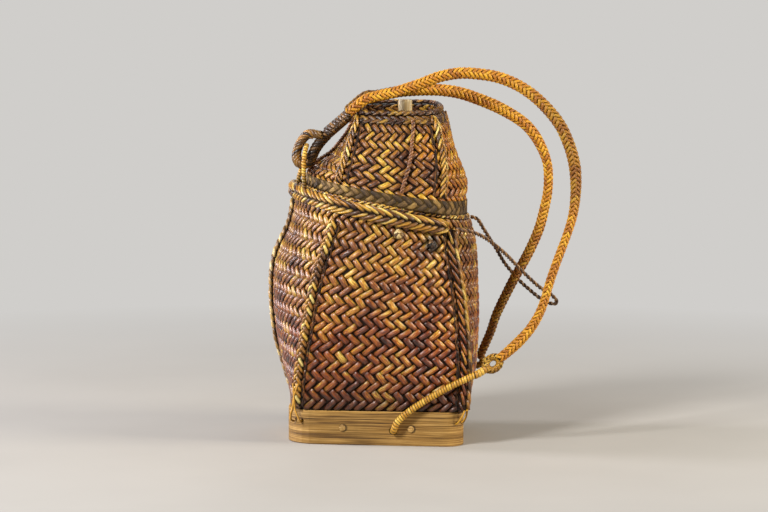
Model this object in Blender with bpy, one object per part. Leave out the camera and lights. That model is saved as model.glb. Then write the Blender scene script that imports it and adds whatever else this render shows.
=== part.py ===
"""Plaited pack basket: a bent-wood base hoop, a twill body with corner ribs, a lift-off lid and two straps.

Metres, +Z up, +X to the right, -Y is the front. The origin is on the floor, under the middle of the base.
"""
import math

import bmesh
import bpy
from mathutils import Vector

CORNER_NAMES = ("front_left", "front_right", "back_right", "back_left")

# Driving sizes of the whole basket
REACH = 0.115               # from the basket's axis to the belly, which the tables of shares follow
HOOP_HEIGHT = 0.037
MOUTH_HEIGHT = 0.2594       # of the body's open edge, on the axis
MOUTH_SLOPE = 0.19          # the mouth drops by this much for each unit to the right
LID_HEIGHT = 0.1003         # from the mouth to the lid's top, on the axis
LID_TOP_HEIGHT = MOUTH_HEIGHT + LID_HEIGHT
LID_TOP_SLOPE = 0.08        # the lid's top rises by this much for each unit to the back
WALL = 0.0032               # the woven wall of the body
LID_WALL = 0.0028
WEAVE_RELIEF = 0.0014       # from the plait's ridges down to its hollows
LID_WEAVE_RELIEF = 0.0012
GAP = 0.0003                # between pieces that touch
FIT = 0.0006                # between a curved piece and the woven wall that it lies on
CUT_OVERRUN = 0.003         # how far a cutter reaches past what it cuts

# Wood of the base
HOOP_THICKNESS = 0.006
HOOP_CHAMFER = 0.0008
HOOP_CORNER_RADII = (0.036, 0.020, 0.034, 0.036)
HOOP_CORNER_SHARES = ((-0.846, -0.67), (0.819, -0.895), (0.852, 0.713), (-0.80, 0.782))
PEG_RADIUS = 0.0036
PEG_PROUD = 0.0016
PEG_DEPTH = 0.011           # into the batten
PEG_SHARES = (0.315, 0.703)  # along the front of the hoop
PEG_TIP_SHARES = ((1.0, 0.5), (0.75, 0.9), (0.35, 1.0))     # of its radius, and of how far it stands proud
PEG_HEIGHT_SHARE = 0.5      # of the hoop's height
PEG_HEIGHT = HOOP_HEIGHT * PEG_HEIGHT_SHARE
PEG_FIT = 0.0003
BATTEN_WIDTH = 0.018
BATTEN_HEIGHT = 0.0135
BATTEN_END_GAP = 0.0005
CORD_HOLE_RADIUS = 0.0046
CORD_HOLE_HEIGHT_SHARE = 0.446
CORD_HOLE_HEIGHT = HOOP_HEIGHT * CORD_HOLE_HEIGHT_SHARE
CORD_HOLE_SHARE = 0.604     # along the front, and counted the same way along the back
FLOOR_WALL = 0.003
FLOOR_FIT = 0.0005

# Braids
CORNER_RIB_WIDTH = 0.0105   # the two ribs on the wearer's side
WIDE_RIB_WIDTH = 0.0150     # the two ribs that take in the ends of the rim braid
RIB_THICKNESS = 0.0050
RIB_FOOT_SHARE = 0.012      # of the body's height, where a rib starts
BRAID_SECTION_SHARES = (    # of half a braid's width, and of its thickness
    (-0.72, 0.0), (0.72, 0.0), (0.97, 0.25), (1.0, 0.55), (0.62, 0.93), (0.0, 1.0), (-0.62, 0.93), (-1.0, 0.55),
    (-0.97, 0.25),
)
BELT_START_SHARE = 0.9      # of the body's height, where the search for a belt's height starts
BELT_TOP_SHARE = 0.985
BELT_TRIALS = 6
RIB_TOP_SHARES = (0.868, 0.945, 0.945, 0.868)
RIM_BRAID_HEIGHT = 0.0165
RIM_BRAID_THICKNESS = 0.0080
RIM_BRAID_DROP = 0.0075     # its centre line under the mouth, on the axis
RIM_BRAID_EXTRA_SLOPE = 0.03
EDGE_BRAID_HEIGHT = 0.0040  # on the body's open edge, under the lid
EDGE_BRAID_SET_BACK = 0.0006

# Collar inside the mouth
COLLAR_WALL = 0.0026
COLLAR_FIT = 0.0012         # between the collar and the lid
COLLAR_DEPTH = 0.018        # under the mouth
COLLAR_LID_ROWS = 4         # rows of the lid's wall that the collar's upstand stays inside
COLLAR_RISE = 0.0165        # above the mouth

# Lid
LID_BAND_SHARE = 0.14       # of the lid's height
LID_BAND_THICKNESS = 0.0018
LID_RIB_WIDTH = 0.0090
LID_RIB_THICKNESS = 0.0042
LID_RIB_START_SHARE = 0.165
LID_RIB_END_SHARE = 0.975
LID_CORD_RADIUS = 0.0018
LID_CORD_START_SHARE = 0.165
LID_CORD_END_SHARE = 0.95
LID_CORD_TOP_SHARES = (0.72, 0.70, 0.50, 0.55)
LID_CORD_FOOT_SHARES = (0.60, 0.76, 0.46, 0.50)
TOP_RING_HEIGHT = 0.0041
TOP_RING_OUT = 0.0012
TOP_RING_WALL = 0.0058
TOP_RING_SECTION_SHARES = ((0.0, 0.0), (1.0, 0.0), (1.0, 0.6), (0.7, 1.0), (0.3, 1.0), (0.0, 0.6))
TOP_PANEL_DROP = 0.0085
TOP_PANEL_THICKNESS = 0.0026
KNOB_RADIUS = 0.0078
KNOB_HEIGHT = 0.0190
KNOB_BORE_RADIUS = 0.0040
KNOB_BORE_SHARE = 0.8       # of its height
KNOB_PROFILE_SHARES = ((0.96, 0.0), (1.0, 0.1), (1.0, 0.92), (0.93, 1.0))
KNOB_PIN_RADIUS = 0.0030
KNOB_PLACE_SHARES = (0.274, -0.017)     # of the reach, to the right and to the back
KNOB_PIN_TAIL = 0.006       # of the pin under the panel
WASHER_RADIUS = 0.008
WASHER_THICKNESS = 0.002

# Shoulder straps and cords
STRAP_RADIUS = 0.0054
LEADER_RADIUS = 0.0035
TETHER_RADIUS = 0.0023
LINK_RADIUS = 0.0026
EYE_RADIUS = 0.0048
NECK_HALF_WIDTH = 0.0125
NECK_HALF_HEIGHT = 0.0058
WHIPPING_RADIUS = 0.0013
WHIPPING_TURNS = 7
END_EYE_RADIUS = 0.0068
END_EYE_TUBE_RADIUS = 0.0028
STOPPER_RADIUS = 0.0056
STOPPER_PROFILE_SHARES = ((0.63, 0.05), (1.0, 0.45), (1.0, 1.3), (0.63, 1.75))
ROSETTE_RADII = (0.0062, 0.0056)
ROSETTE_THICKNESS = 0.0046
ROSETTE_PROFILE_SHARES = ((0.85, 0.13), (1.0, 0.4), (0.8, 0.85), (0.35, 1.0))
ROSETTE_SIDE_SHARES = (0.53, 0.82)
ROSETTE_DROPS = (0.0078, 0.0120)    # of their middles, under the rim braid
TAIL_RADIUS = 0.0011
TAIL_APART_SHARE = 1.6      # of its radius, from the rib's middle at the top
TAIL_LENGTH = 0.013
TAIL_SPREAD = 0.0055
TAIL_DEPTH = 0.0035         # into the hoop
TAIL_HOLE_FIT = 0.0004

# How finely round and woven shapes are divided
SIDE_STEPS = 10
WALL_ROWS = 16
WALL_INNER_ROWS = 12
LID_ROWS = 10
ARC_STEPS = 6
ROUND_STEPS = 18
TURN_STEPS = 14             # in each turn of the whipping
EYE_TUBE_STEPS = 8
FRAME_SHARE = 0.02          # of a side or height, over which a face's directions are measured

# The body at shares of its height: corners front left, front right, back right, back left, then how far each side
# bulges as a share of its own length (front, right, back, left), and the corner rounding as a share of the sides
BODY_SHARES = (
    (0.00, ((-0.80, -0.68), (0.86, -0.89), (0.90, 0.73), (-0.81, 0.77)), (0.00, 0.01, 0.01, 0.01), 0.13),
    (0.10, ((-0.78, -0.71), (0.87, -0.86), (0.90, 0.75), (-0.875, 0.75)), (0.03, 0.02, 0.03, 0.02), 0.12),
    (0.20, ((-0.75, -0.74), (0.87, -0.83), (0.88, 0.78), (-0.935, 0.68)), (0.06, 0.05, 0.06, 0.04), 0.11),
    (0.30, ((-0.71, -0.77), (0.86, -0.78), (0.84, 0.81), (-0.98, 0.60)), (0.09, 0.075, 0.10, 0.05), 0.10),
    (0.50, ((-0.63, -0.80), (0.82, -0.69), (0.75, 0.83), (-1.0, 0.43)), (0.165, 0.13, 0.17, 0.085), 0.09),
    (0.65, ((-0.56, -0.82), (0.78, -0.65), (0.68, 0.83), (-0.965, 0.37)), (0.175, 0.165, 0.185, 0.095), 0.08),
    (0.80, ((-0.46, -0.80), (0.72, -0.63), (0.59, 0.81), (-0.83, 0.34)), (0.165, 0.215, 0.185, 0.105), 0.08),
    (0.90, ((-0.40, -0.77), (0.70, -0.59), (0.54, 0.78), (-0.78, 0.32)), (0.155, 0.235, 0.175, 0.115), 0.08),
    (1.00, ((-0.39, -0.74), (0.70, -0.57), (0.52, 0.76), (-0.77, 0.31)), (0.155, 0.212, 0.175, 0.115), 0.08),
)

# The lid, in the same way, from the mouth to its top edge
LID_SHARES = (
    (0.00, ((-0.36, -0.68), (0.63, -0.66), (0.61, 0.70), (-0.57, 0.47)), (0.14, 0.17, 0.16, 0.15), 0.08),
    (0.15, ((-0.35, -0.67), (0.62, -0.66), (0.61, 0.69), (-0.57, 0.47)), (0.14, 0.18, 0.16, 0.155), 0.08),
    (0.30, ((-0.34, -0.63), (0.63, -0.64), (0.62, 0.65), (-0.49, 0.46)), (0.12, 0.192, 0.15, 0.14), 0.08),
    (0.45, ((-0.30, -0.58), (0.64, -0.62), (0.60, 0.60), (-0.37, 0.46)), (0.11, 0.168, 0.13, 0.09), 0.08),
    (0.60, ((-0.27, -0.53), (0.63, -0.57), (0.58, 0.55), (-0.30, 0.44)), (0.10, 0.14, 0.11, 0.05), 0.08),
    (0.75, ((-0.24, -0.48), (0.60, -0.52), (0.57, 0.49), (-0.23, 0.42)), (0.08, 0.13, 0.09, 0.02), 0.09),
    (0.90, ((-0.20, -0.43), (0.57, -0.46), (0.56, 0.43), (-0.17, 0.39)), (0.06, 0.12, 0.07, 0.02), 0.10),
    (1.00, ((-0.17, -0.38), (0.51, -0.41), (0.55, 0.39), (-0.13, 0.37)), (0.05, 0.12, 0.05, 0.02), 0.11),
)

# Cord routes, in metres
STRAP_FRONT_ROUTE = (
    (-0.0290, -0.041, 0.3596), (-0.012, -0.040, 0.3728), (-0.002, -0.037, 0.3754), (0.009, -0.034, 0.3780),
    (0.020, -0.031, 0.3800), (0.031, -0.029, 0.3835), (0.048, -0.028, 0.3890), (0.069, -0.028, 0.3970),
    (0.091, -0.029, 0.4010), (0.113, -0.031, 0.4000), (0.135, -0.034, 0.3960), (0.157, -0.038, 0.3865),
    (0.178, -0.043, 0.3710), (0.198, -0.049, 0.3480), (0.209, -0.054, 0.3250), (0.215, -0.058, 0.3030),
    (0.2165, -0.061, 0.2820), (0.2155, -0.064, 0.2640), (0.2125, -0.067, 0.2460), (0.206, -0.071, 0.2260),
    (0.199, -0.075, 0.2080), (0.1925, -0.079, 0.1910), (0.187, -0.082, 0.1750), (0.182, -0.085, 0.1580),
    (0.1755, -0.088, 0.1420), (0.166, -0.091, 0.1270), (0.154, -0.094, 0.1140), (0.1425, -0.096, 0.1035),
    (0.1342, -0.0978, 0.0969),
)
STRAP_REAR_ROUTE = (
    (-0.0298, -0.027, 0.3612), (-0.012, -0.024, 0.3753), (-0.002, -0.021, 0.3757), (0.009, -0.018, 0.3774),
    (0.020, -0.014, 0.3795), (0.031, -0.010, 0.3808), (0.048, -0.003, 0.3815), (0.070, 0.004, 0.3810),
    (0.092, 0.009, 0.3775), (0.114, 0.013, 0.3700), (0.136, 0.017, 0.3605), (0.158, 0.020, 0.3475),
    (0.172, 0.022, 0.3345), (0.183, 0.024, 0.3165), (0.1895, 0.026, 0.2985), (0.191, 0.028, 0.2815),
    (0.190, 0.029, 0.2645), (0.1865, 0.031, 0.2465), (0.1815, 0.032, 0.2265), (0.173, 0.034, 0.2055),
    (0.1635, 0.036, 0.1865), (0.1535, 0.039, 0.1680), (0.143, 0.043, 0.1465), (0.134, 0.049, 0.1260),
    (0.1285, 0.055, 0.1080), (0.122, 0.063, 0.0910), (0.1176, 0.0699, 0.0799),
)
LEADER_FRONT_ROUTE = (
    (0.1174, -0.1011, 0.0848), (0.110, -0.1030, 0.0802), (0.101, -0.1045, 0.0765), (0.090, -0.1050, 0.0715),
    (0.079, -0.1048, 0.0660), (0.068, -0.1043, 0.0600), (0.058, -0.1036, 0.0540), (0.050, -0.1030, 0.0490),
    (0.042, -0.1026, 0.0438), (0.034, -0.1022, 0.0380), (0.0275, -0.1016, 0.0325), (0.0225, -0.1012, 0.0270),
    (0.0196, -0.1005, 0.0212), (0.0187, -0.0975, 0.0173), (0.0184, -0.0930, 0.0165), (0.0184, -0.0885, 0.0165),
    (0.0184, -0.0825, 0.0165),
)
LEADER_REAR_ROUTE = (
    (0.1096, 0.0816, 0.0645), (0.1075, 0.0868, 0.0602), (0.1000, 0.0950, 0.0582), (0.089, 0.0990, 0.0560),
    (0.079, 0.1005, 0.0533), (0.069, 0.1010, 0.0500), (0.059, 0.1010, 0.0460), (0.051, 0.1007, 0.0420),
    (0.043, 0.1003, 0.0375), (0.0355, 0.0996, 0.0325), (0.0295, 0.0986, 0.0275), (0.0252, 0.0968, 0.0218),
    (0.0232, 0.0930, 0.0176), (0.0226, 0.0880, 0.0165), (0.0225, 0.0820, 0.0165), (0.0225, 0.0755, 0.0165),
)
TETHER_ROUTE = (
    (0.0866, -0.0697, 0.2337), (0.0980, -0.0655, 0.2318), (0.1095, -0.0520, 0.2270), (0.1200, -0.0380, 0.2205),
    (0.1330, -0.0200, 0.2095), (0.1440, -0.0020, 0.1985), (0.1530, 0.0120, 0.1885), (0.1630, 0.0220, 0.1775),
    (0.1810, 0.0350, 0.1600), (0.1915, 0.0410, 0.1530), (0.1990, 0.0445, 0.1465), (0.2020, 0.0480, 0.1415),
    (0.1995, 0.0530, 0.1385), (0.1915, 0.0565, 0.1400), (0.1820, 0.0585, 0.1455), (0.1710, 0.0600, 0.1545),
    (0.1605, 0.0600, 0.1640), (0.1510, 0.0575, 0.1750), (0.1425, 0.0530, 0.1860), (0.1340, 0.0455, 0.2010),
    (0.1265, 0.0380, 0.2130), (0.1180, 0.0290, 0.2270), (0.1120, 0.0225, 0.2366), (0.1046, 0.0180, 0.2396),
)
EYE_ROUTE = (
    (-0.0592, -0.0394, 0.3344), (-0.0635, -0.0388, 0.3342), (-0.0680, -0.0370, 0.3355), (-0.0750, -0.0350, 0.3350),
    (-0.0825, -0.0340, 0.3265), (-0.0872, -0.0340, 0.3155), (-0.0872, -0.0340, 0.3060), (-0.0820, -0.0340, 0.3010),
    (-0.0745, -0.0335, 0.3025), (-0.0695, -0.0325, 0.3090), (-0.0662, -0.0310, 0.3165), (-0.0615, -0.0295, 0.3235),
    (-0.0570, -0.0287, 0.3288), (-0.0533, -0.0286, 0.3327),
)
LINK_ROUTE = (
    (-0.0783, -0.0468, 0.2774), (-0.0788, -0.0466, 0.2860), (-0.0790, -0.0462, 0.2950), (-0.0788, -0.0460, 0.3050),
    (-0.0781, -0.0450, 0.3128), (-0.0769, -0.0421, 0.3188), (-0.0762, -0.0380, 0.3217), (-0.0760, -0.0340, 0.3225),
    (-0.0762, -0.0300, 0.3217), (-0.0772, -0.0256, 0.3188), (-0.0788, -0.0228, 0.3124), (-0.0804, -0.0221, 0.3050),
    (-0.0826, -0.0222, 0.2950), (-0.0850, -0.0222, 0.2870), (-0.0868, -0.0222, 0.2795),
)
NECK_ROUTE = ((-0.0545, -0.034, 0.3350), (-0.0288, -0.034, 0.3572))

MATERIALS = {
    "hoop wood": ((0.42, 0.25, 0.09), 0.62),
    "peg wood": ((0.60, 0.40, 0.16), 0.55),
    "dark rattan": ((0.25, 0.11, 0.04), 0.40),
    "golden rattan": ((0.58, 0.34, 0.08), 0.38),
    "strap rattan": ((0.56, 0.28, 0.05), 0.40),
    "band rattan": ((0.30, 0.22, 0.09), 0.50),
    "bamboo": ((0.66, 0.46, 0.22), 0.45),
}


def clear_scene():
    for old in list(bpy.data.objects):
        bpy.data.objects.remove(old, do_unlink=True)


def material(name):
    found = bpy.data.materials.get(name)
    if found:
        return found
    colour, roughness = MATERIALS[name]
    made = bpy.data.materials.new(name)
    made.use_nodes = True
    shader = made.node_tree.nodes["Principled BSDF"]
    shader.inputs["Base Color"].default_value = (*colour, 1)
    shader.inputs["Roughness"].default_value = roughness
    return made


def add_object(name, data, finish):
    made = bpy.data.objects.new(name, data)
    bpy.context.scene.collection.objects.link(made)
    data.materials.append(material(finish))
    return made


def loft(rings, closed=False):
    """Skin a list of rings of equal length; the ends are filled, or the last ring meets the first."""
    mesh = bmesh.new()
    rows = [[mesh.verts.new(place) for place in ring] for ring in rings]
    count = len(rows[0])
    pairs = list(zip(rows, rows[1:]))
    if closed:
        pairs.append((rows[-1], rows[0]))
    for low, high in pairs:
        for index in range(count):
            following = (index + 1) % count
            mesh.faces.new((low[index], low[following], high[following], high[index]))
    if not closed:
        mesh.faces.new(list(reversed(rows[0])))
        mesh.faces.new(rows[-1])
    bmesh.ops.recalc_face_normals(mesh, faces=mesh.faces[:])
    return mesh


def add_solid(name, mesh, finish):
    data = bpy.data.meshes.new(name)
    mesh.to_mesh(data)
    mesh.free()
    data.shade_smooth()
    data.set_sharp_from_angle(angle=math.radians(35))
    return add_object(name, data, finish)


def add_cutter(name, meshes):
    """One hidden object that holds every cutter of a piece."""
    data = bpy.data.meshes.new(name)
    whole = bmesh.new()
    for mesh in meshes:
        mesh.to_mesh(data)
        mesh.free()
        whole.from_mesh(data)
    whole.to_mesh(data)
    whole.free()
    cutter = bpy.data.objects.new(name, data)
    bpy.context.scene.collection.objects.link(cutter)
    cutter.hide_render = True
    cutter.display_type = "WIRE"
    return cutter


def cut(target, cutter):
    boolean = target.modifiers.new("holes", "BOOLEAN")
    boolean.operation = "DIFFERENCE"
    boolean.object = cutter


def mix(a, b, share):
    return a + (b - a) * share


def station(table, share):
    """Corners, bulges and rounding at a share of the height, along smooth curves through the table's rows."""
    row = 0
    while row < len(table) - 2 and share > table[row + 1][0]:
        row += 1
    before = table[max(row - 1, 0)]
    low = table[row]
    high = table[row + 1]
    after = table[min(row + 2, len(table) - 1)]
    span = high[0] - low[0]
    t = (share - low[0]) / span

    def smooth(a, b, c, d):
        slope_low = (c - a) / (high[0] - before[0]) * span
        slope_high = (d - b) / (after[0] - low[0]) * span
        return (
            b * (2 * t ** 3 - 3 * t ** 2 + 1) + slope_low * (t ** 3 - 2 * t ** 2 + t)
            + c * (3 * t ** 2 - 2 * t ** 3) + slope_high * (t ** 3 - t ** 2)
        )

    corners = [
        Vector([REACH * smooth(before[1][k][axis], low[1][k][axis], high[1][k][axis], after[1][k][axis])
                for axis in range(2)])
        for k in range(4)
    ]
    bulges = [smooth(before[2][k], low[2][k], high[2][k], after[2][k]) for k in range(4)]
    return corners, bulges, smooth(before[3], low[3], high[3], after[3])


def side_place(corners, bulges, side, share):
    start = corners[side % 4]
    end = corners[(side + 1) % 4]
    along = end - start
    outward = Vector((along.y, -along.x))
    return start + along * share + outward * (4 * bulges[side % 4] * share * (1 - share))


def outline_place(section, u):
    """A place on the outline: the whole part of u is the side, counted from the front left corner."""
    corners, bulges, rounding = section
    u = u % 4
    side = int(u)
    share = u - side
    if rounding <= share <= 1 - rounding:
        return side_place(corners, bulges, side, share)
    if share < rounding:
        corner = side
        turn = 0.5 + share / rounding / 2
    else:
        corner = side + 1
        turn = (share - 1 + rounding) / rounding / 2
    start = side_place(corners, bulges, corner - 1, 1 - rounding)
    end = side_place(corners, bulges, corner, rounding)
    middle = corners[corner % 4]
    return start * (1 - turn) ** 2 + middle * (2 * turn * (1 - turn)) + end * turn ** 2


def outline_normal(section, u):
    step = 1 / SIDE_STEPS / 2
    along = outline_place(section, u + step) - outline_place(section, u - step)
    return Vector((along.y, -along.x)).normalized()


def mouth_height(x):
    return MOUTH_HEIGHT - MOUTH_SLOPE * x


def body_place(u, share, outset=0.0, rise=0.0):
    """A place on the body's outer face, or outset from it, at a share of its height."""
    section = station(BODY_SHARES, min(share, 1))
    flat = outline_place(section, u)
    flat = flat + outline_normal(section, u) * outset
    foot = HOOP_HEIGHT + GAP
    height = foot + (mouth_height(flat.x) - foot) * share
    return Vector((flat.x, flat.y, height + rise))


def lid_place(u, share, outset=0.0, rise=0.0):
    """A place on the lid's outer face, or outset from it, at a share of its height."""
    section = station(LID_SHARES, share)
    flat = outline_place(section, u)
    flat = flat + outline_normal(section, u) * outset
    foot = mouth_height(flat.x) + EDGE_BRAID_HEIGHT + 2 * GAP
    top = LID_TOP_HEIGHT + LID_TOP_SLOPE * flat.y
    return Vector((flat.x, flat.y, foot + (top - foot) * share + rise))


def around(steps=4 * SIDE_STEPS):
    return [4 * index / steps for index in range(steps)]


def zip_up(mesh, low, high):
    """Triangles between two runs of corners, taken at even shares of both; each run is (share, corner) pairs."""
    a = 0
    b = 0
    while a < len(low) - 1 or b < len(high) - 1:
        if b == len(high) - 1 or (a < len(low) - 1 and low[a + 1][0] <= high[b + 1][0]):
            mesh.faces.new((low[a][1], low[a + 1][1], high[b][1]))
            a += 1
        else:
            mesh.faces.new((low[a][1], high[b + 1][1], high[b][1]))
            b += 1


def shell(name, place, wall, relief, rows, inner_rows, finish):
    """A plaited wall, open at both ends: ridges that lean right in one row and left in the next, between its ribs."""
    mesh = bmesh.new()
    edge = 1 / SIDE_STEPS
    columns = [0.0] + [edge + index * edge / 2 for index in range(2 * SIDE_STEPS - 3)]
    outer = []
    for row in range(rows + 1):
        outer.append([])
        for side in range(4):
            for index, u in enumerate(columns):
                sunk = index > 0 and index % 2 == 0
                outer[-1].append(mesh.verts.new(place(side + u, row / rows, -relief if sunk else 0.0)))
    inner = [
        [mesh.verts.new(place(u, row / inner_rows, -wall)) for u in around()] for row in range(inner_rows + 1)
    ]
    count = len(columns)
    for row, (low, high) in enumerate(zip(outer, outer[1:])):
        lean = 2 if row % 2 == 0 else -2
        for side in range(4):
            first = side * count + 1
            last = first + count - 2
            corner = (side * count, (side + 1) * count % (4 * count))
            mesh.faces.new((low[corner[0]], low[first], high[first], high[corner[0]]))
            mesh.faces.new((low[last], low[corner[1]], high[corner[1]], high[last]))
            for index in range(first, last):
                start = index + lean
                if first <= start and start + 1 <= last:
                    mesh.faces.new((low[index], low[index + 1], high[start + 1], high[start]))
            for index in range(2):
                if lean > 0:
                    mesh.faces.new((low[first], high[first + index + 1], high[first + index]))
                    mesh.faces.new((low[last - index - 1], low[last - index], high[last]))
                else:
                    mesh.faces.new((low[first + index], low[first + index + 1], high[first]))
                    mesh.faces.new((low[last], high[last - index], high[last - index - 1]))
    for low, high in zip(inner, inner[1:]):
        for index in range(len(low)):
            mesh.faces.new((low[index - 1], high[index - 1], high[index], low[index]))
    for outer_row, inner_row in ((outer[0], inner[0]), (outer[-1], inner[-1])):
        for side in range(4):
            run = [(u, outer_row[side * count + index]) for index, u in enumerate(columns)]
            run.append((1.0, outer_row[(side + 1) * count % (4 * count)]))
            back = [
                (index / SIDE_STEPS, inner_row[(side * SIDE_STEPS + index) % len(inner_row)])
                for index in range(SIDE_STEPS + 1)
            ]
            zip_up(mesh, run, back)
    bmesh.ops.recalc_face_normals(mesh, faces=mesh.faces[:])
    return add_solid(name, mesh, finish)


def rounded_section(width, thickness):
    """Places of a braid's section: along its width, and out from the face that it lies on."""
    return [(width / 2 * side, thickness * out) for side, out in BRAID_SECTION_SHARES]


def frame_on(place, u, share):
    """Centre, sideways, upward and outward directions on a woven face."""
    centre = place(u, share)
    sideways = (place(u + FRAME_SHARE, share) - place(u - FRAME_SHARE, share)).normalized()
    low = place(u, max(share - FRAME_SHARE, 0))
    high = place(u, min(share + FRAME_SHARE, 1))
    upward = (high - low).normalized()
    outward = sideways.cross(upward).normalized()
    return centre, sideways, upward, outward


def rib(name, place, u_low, u_high, start, end, width, thickness, rows, finish):
    """A braid that runs up a woven face."""
    rings = []
    for row in range(rows + 1):
        part = row / rows
        centre, sideways, upward, outward = frame_on(place, mix(u_low, u_high, part), mix(start, end, part))
        rings.append([centre + sideways * a + outward * (FIT + b) for a, b in rounded_section(width, thickness)])
    return add_solid(name, loft(rings), finish)


def share_at(place, u, level):
    """The share of a woven face's height at which it reaches the height level(x)."""
    share = BELT_START_SHARE
    for _ in range(BELT_TRIALS):
        x, _, z = place(u, share)
        climb = (place(u, share + FRAME_SHARE / 2).z - z) / (FRAME_SHARE / 2)
        share = min(max(share + (level(x) - z) / climb, 0), BELT_TOP_SHARE)
    return share


def belt(name, place, level, width, thickness, us, finish):
    """A braid that runs round a woven face at the height level(x), laid flat on the face."""
    rings = []
    for u in us:
        share = share_at(place, u, level)
        centre, sideways, upward, outward = frame_on(place, u, share)
        centre += upward * ((level(centre.x) - centre.z) / upward.z)
        length = (place(u, 1) - place(u, BELT_START_SHARE)).length / (1 - BELT_START_SHARE)
        lift = max(
            (place(u, min(share + way * width / 2 / length, 1)) - centre).dot(outward) for way in (-1, -0.5, 0.5, 1)
        )
        fit = FIT + max(lift, 0)
        rings.append([centre + upward * a + outward * (fit + b) for a, b in rounded_section(width, thickness)])
    return add_solid(name, loft(rings), finish)


def smooth_route(points, spacing):
    """Places a spacing apart on a smooth curve through a route's own points."""
    route = [Vector(point) for point in points]
    fine = []
    for index in range(len(route) - 1):
        a = route[max(index - 1, 0)]
        b = route[index]
        c = route[index + 1]
        d = route[min(index + 2, len(route) - 1)]
        for step in range(ARC_STEPS):
            t = step / ARC_STEPS
            fine.append(
                (b * 2 + (c - a) * t + (a * 2 - b * 5 + c * 4 - d) * t ** 2 + (b * 3 - a - c * 3 + d) * t ** 3) / 2
            )
    fine.append(route[-1])
    run = [0.0]
    for low, high in zip(fine, fine[1:]):
        run.append(run[-1] + (high - low).length)
    count = max(2, round(run[-1] / spacing))
    places = []
    index = 0
    for step in range(count + 1):
        wanted = run[-1] * step / count
        while index < len(run) - 2 and run[index + 1] < wanted:
            index += 1
        part = (wanted - run[index]) / (run[index + 1] - run[index])
        places.append(fine[index].lerp(fine[index + 1], part))
    return places


def tube(name, places, radius, finish, resolution=2):
    """A round cord as a curve with filled ends."""
    data = bpy.data.curves.new(name, "CURVE")
    data.dimensions = "3D"
    data.bevel_depth = radius
    data.bevel_resolution = resolution
    data.use_fill_caps = True
    spline = data.splines.new("POLY")
    spline.points.add(len(places) - 1)
    for point, place in zip(spline.points, places):
        point.co = (*place, 1)
    return add_object(name, data, finish)


def turned(profile, start, axis, steps=ROUND_STEPS):
    """A turned solid: (radius, distance along the axis) pairs, closed at both ends."""
    axis = axis.normalized()
    side = axis.orthogonal().normalized()
    other = axis.cross(side)
    rings = []
    for radius, distance in profile:
        rings.append([
            start + axis * distance
            + side * (radius * math.cos(math.tau * step / steps))
            + other * (radius * math.sin(math.tau * step / steps))
            for step in range(steps)
        ])
    return loft(rings)


def prism(outline, low, high):
    return loft([[Vector((x, y, low)) for x, y in outline], [Vector((x, y, high)) for x, y in outline]])


def hoop_corners(inset):
    """The hoop's sharp corners, moved inwards."""
    corners = [Vector(pair) * REACH for pair in HOOP_CORNER_SHARES]
    moved = []
    for index, corner in enumerate(corners):
        before = (corner - corners[index - 1]).normalized()
        after = (corners[(index + 1) % 4] - corner).normalized()
        inward = Vector((-before.y, before.x)) + Vector((-after.y, after.x))
        moved.append(corner + inward * (inset / (1 + before.dot(after))))
    return moved


def hoop_outline(inset):
    """The hoop's outline with its corners rounded, moved inwards."""
    corners = hoop_corners(inset)
    places = []
    for index, corner in enumerate(corners):
        radius = HOOP_CORNER_RADII[index] - inset
        before = (corners[index - 1] - corner).normalized()
        after = (corners[(index + 1) % 4] - corner).normalized()
        half = before.angle(after) / 2
        centre = corner + (before + after).normalized() * (radius / math.sin(half))
        start = corner + before * (radius / math.tan(half)) - centre
        end = corner + after * (radius / math.tan(half)) - centre
        sweep = start.angle(end)
        for step in range(ARC_STEPS + 1):
            angle = sweep * step / ARC_STEPS
            turned_start = Vector((
                start.x * math.cos(angle) - start.y * math.sin(angle),
                start.x * math.sin(angle) + start.y * math.cos(angle),
            ))
            places.append(centre + turned_start)
    return places


def hoop_side(front, share, inset=0.0):
    """A place on the front or back of the hoop, counted from the left, with the direction that faces out."""
    corners = hoop_corners(inset)
    left, right = (corners[0], corners[1]) if front else (corners[3], corners[2])
    along = (right - left).normalized()
    outward = Vector((along.y, -along.x)) if front else Vector((-along.y, along.x))
    return left + (right - left) * share, outward


def nearest_on_hoop(place):
    """The hoop's face nearest to a place, with the direction that faces out."""
    outline = hoop_outline(0.0)
    best = None
    for index, start in enumerate(outline):
        end = outline[(index + 1) % len(outline)]
        along = end - start
        if along.length == 0:
            continue
        share = min(max((Vector(place[:2]) - start).dot(along) / along.length_squared, 0), 1)
        foot = start + along * share
        distance = (Vector(place[:2]) - foot).length
        if best is None or distance < best[0]:
            best = (distance, foot, Vector((along.y, -along.x)).normalized())
    return best[1], best[2]


def tail_route(corner, hand):
    """A strand's route from the rib's foot down the hoop's face and into its slit."""
    centre, sideways, upward, outward = frame_on(body_place, corner, RIB_FOOT_SHARE)
    foot, face = nearest_on_hoop(centre + sideways * (hand * TAIL_SPREAD))
    low = HOOP_HEIGHT - TAIL_LENGTH
    clear = TAIL_RADIUS + GAP
    top = centre + outward * (FIT + RIB_THICKNESS / 2)
    start = top + sideways * (hand * TAIL_RADIUS * TAIL_APART_SHARE) - Vector((0, 0, TAIL_RADIUS + GAP))
    lip = Vector((foot.x + face.x * clear, foot.y + face.y * clear, low + TAIL_RADIUS * 2))
    inside = Vector((foot.x - face.x * TAIL_DEPTH, foot.y - face.y * TAIL_DEPTH, low))
    return start, lip, inside, face


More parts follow.
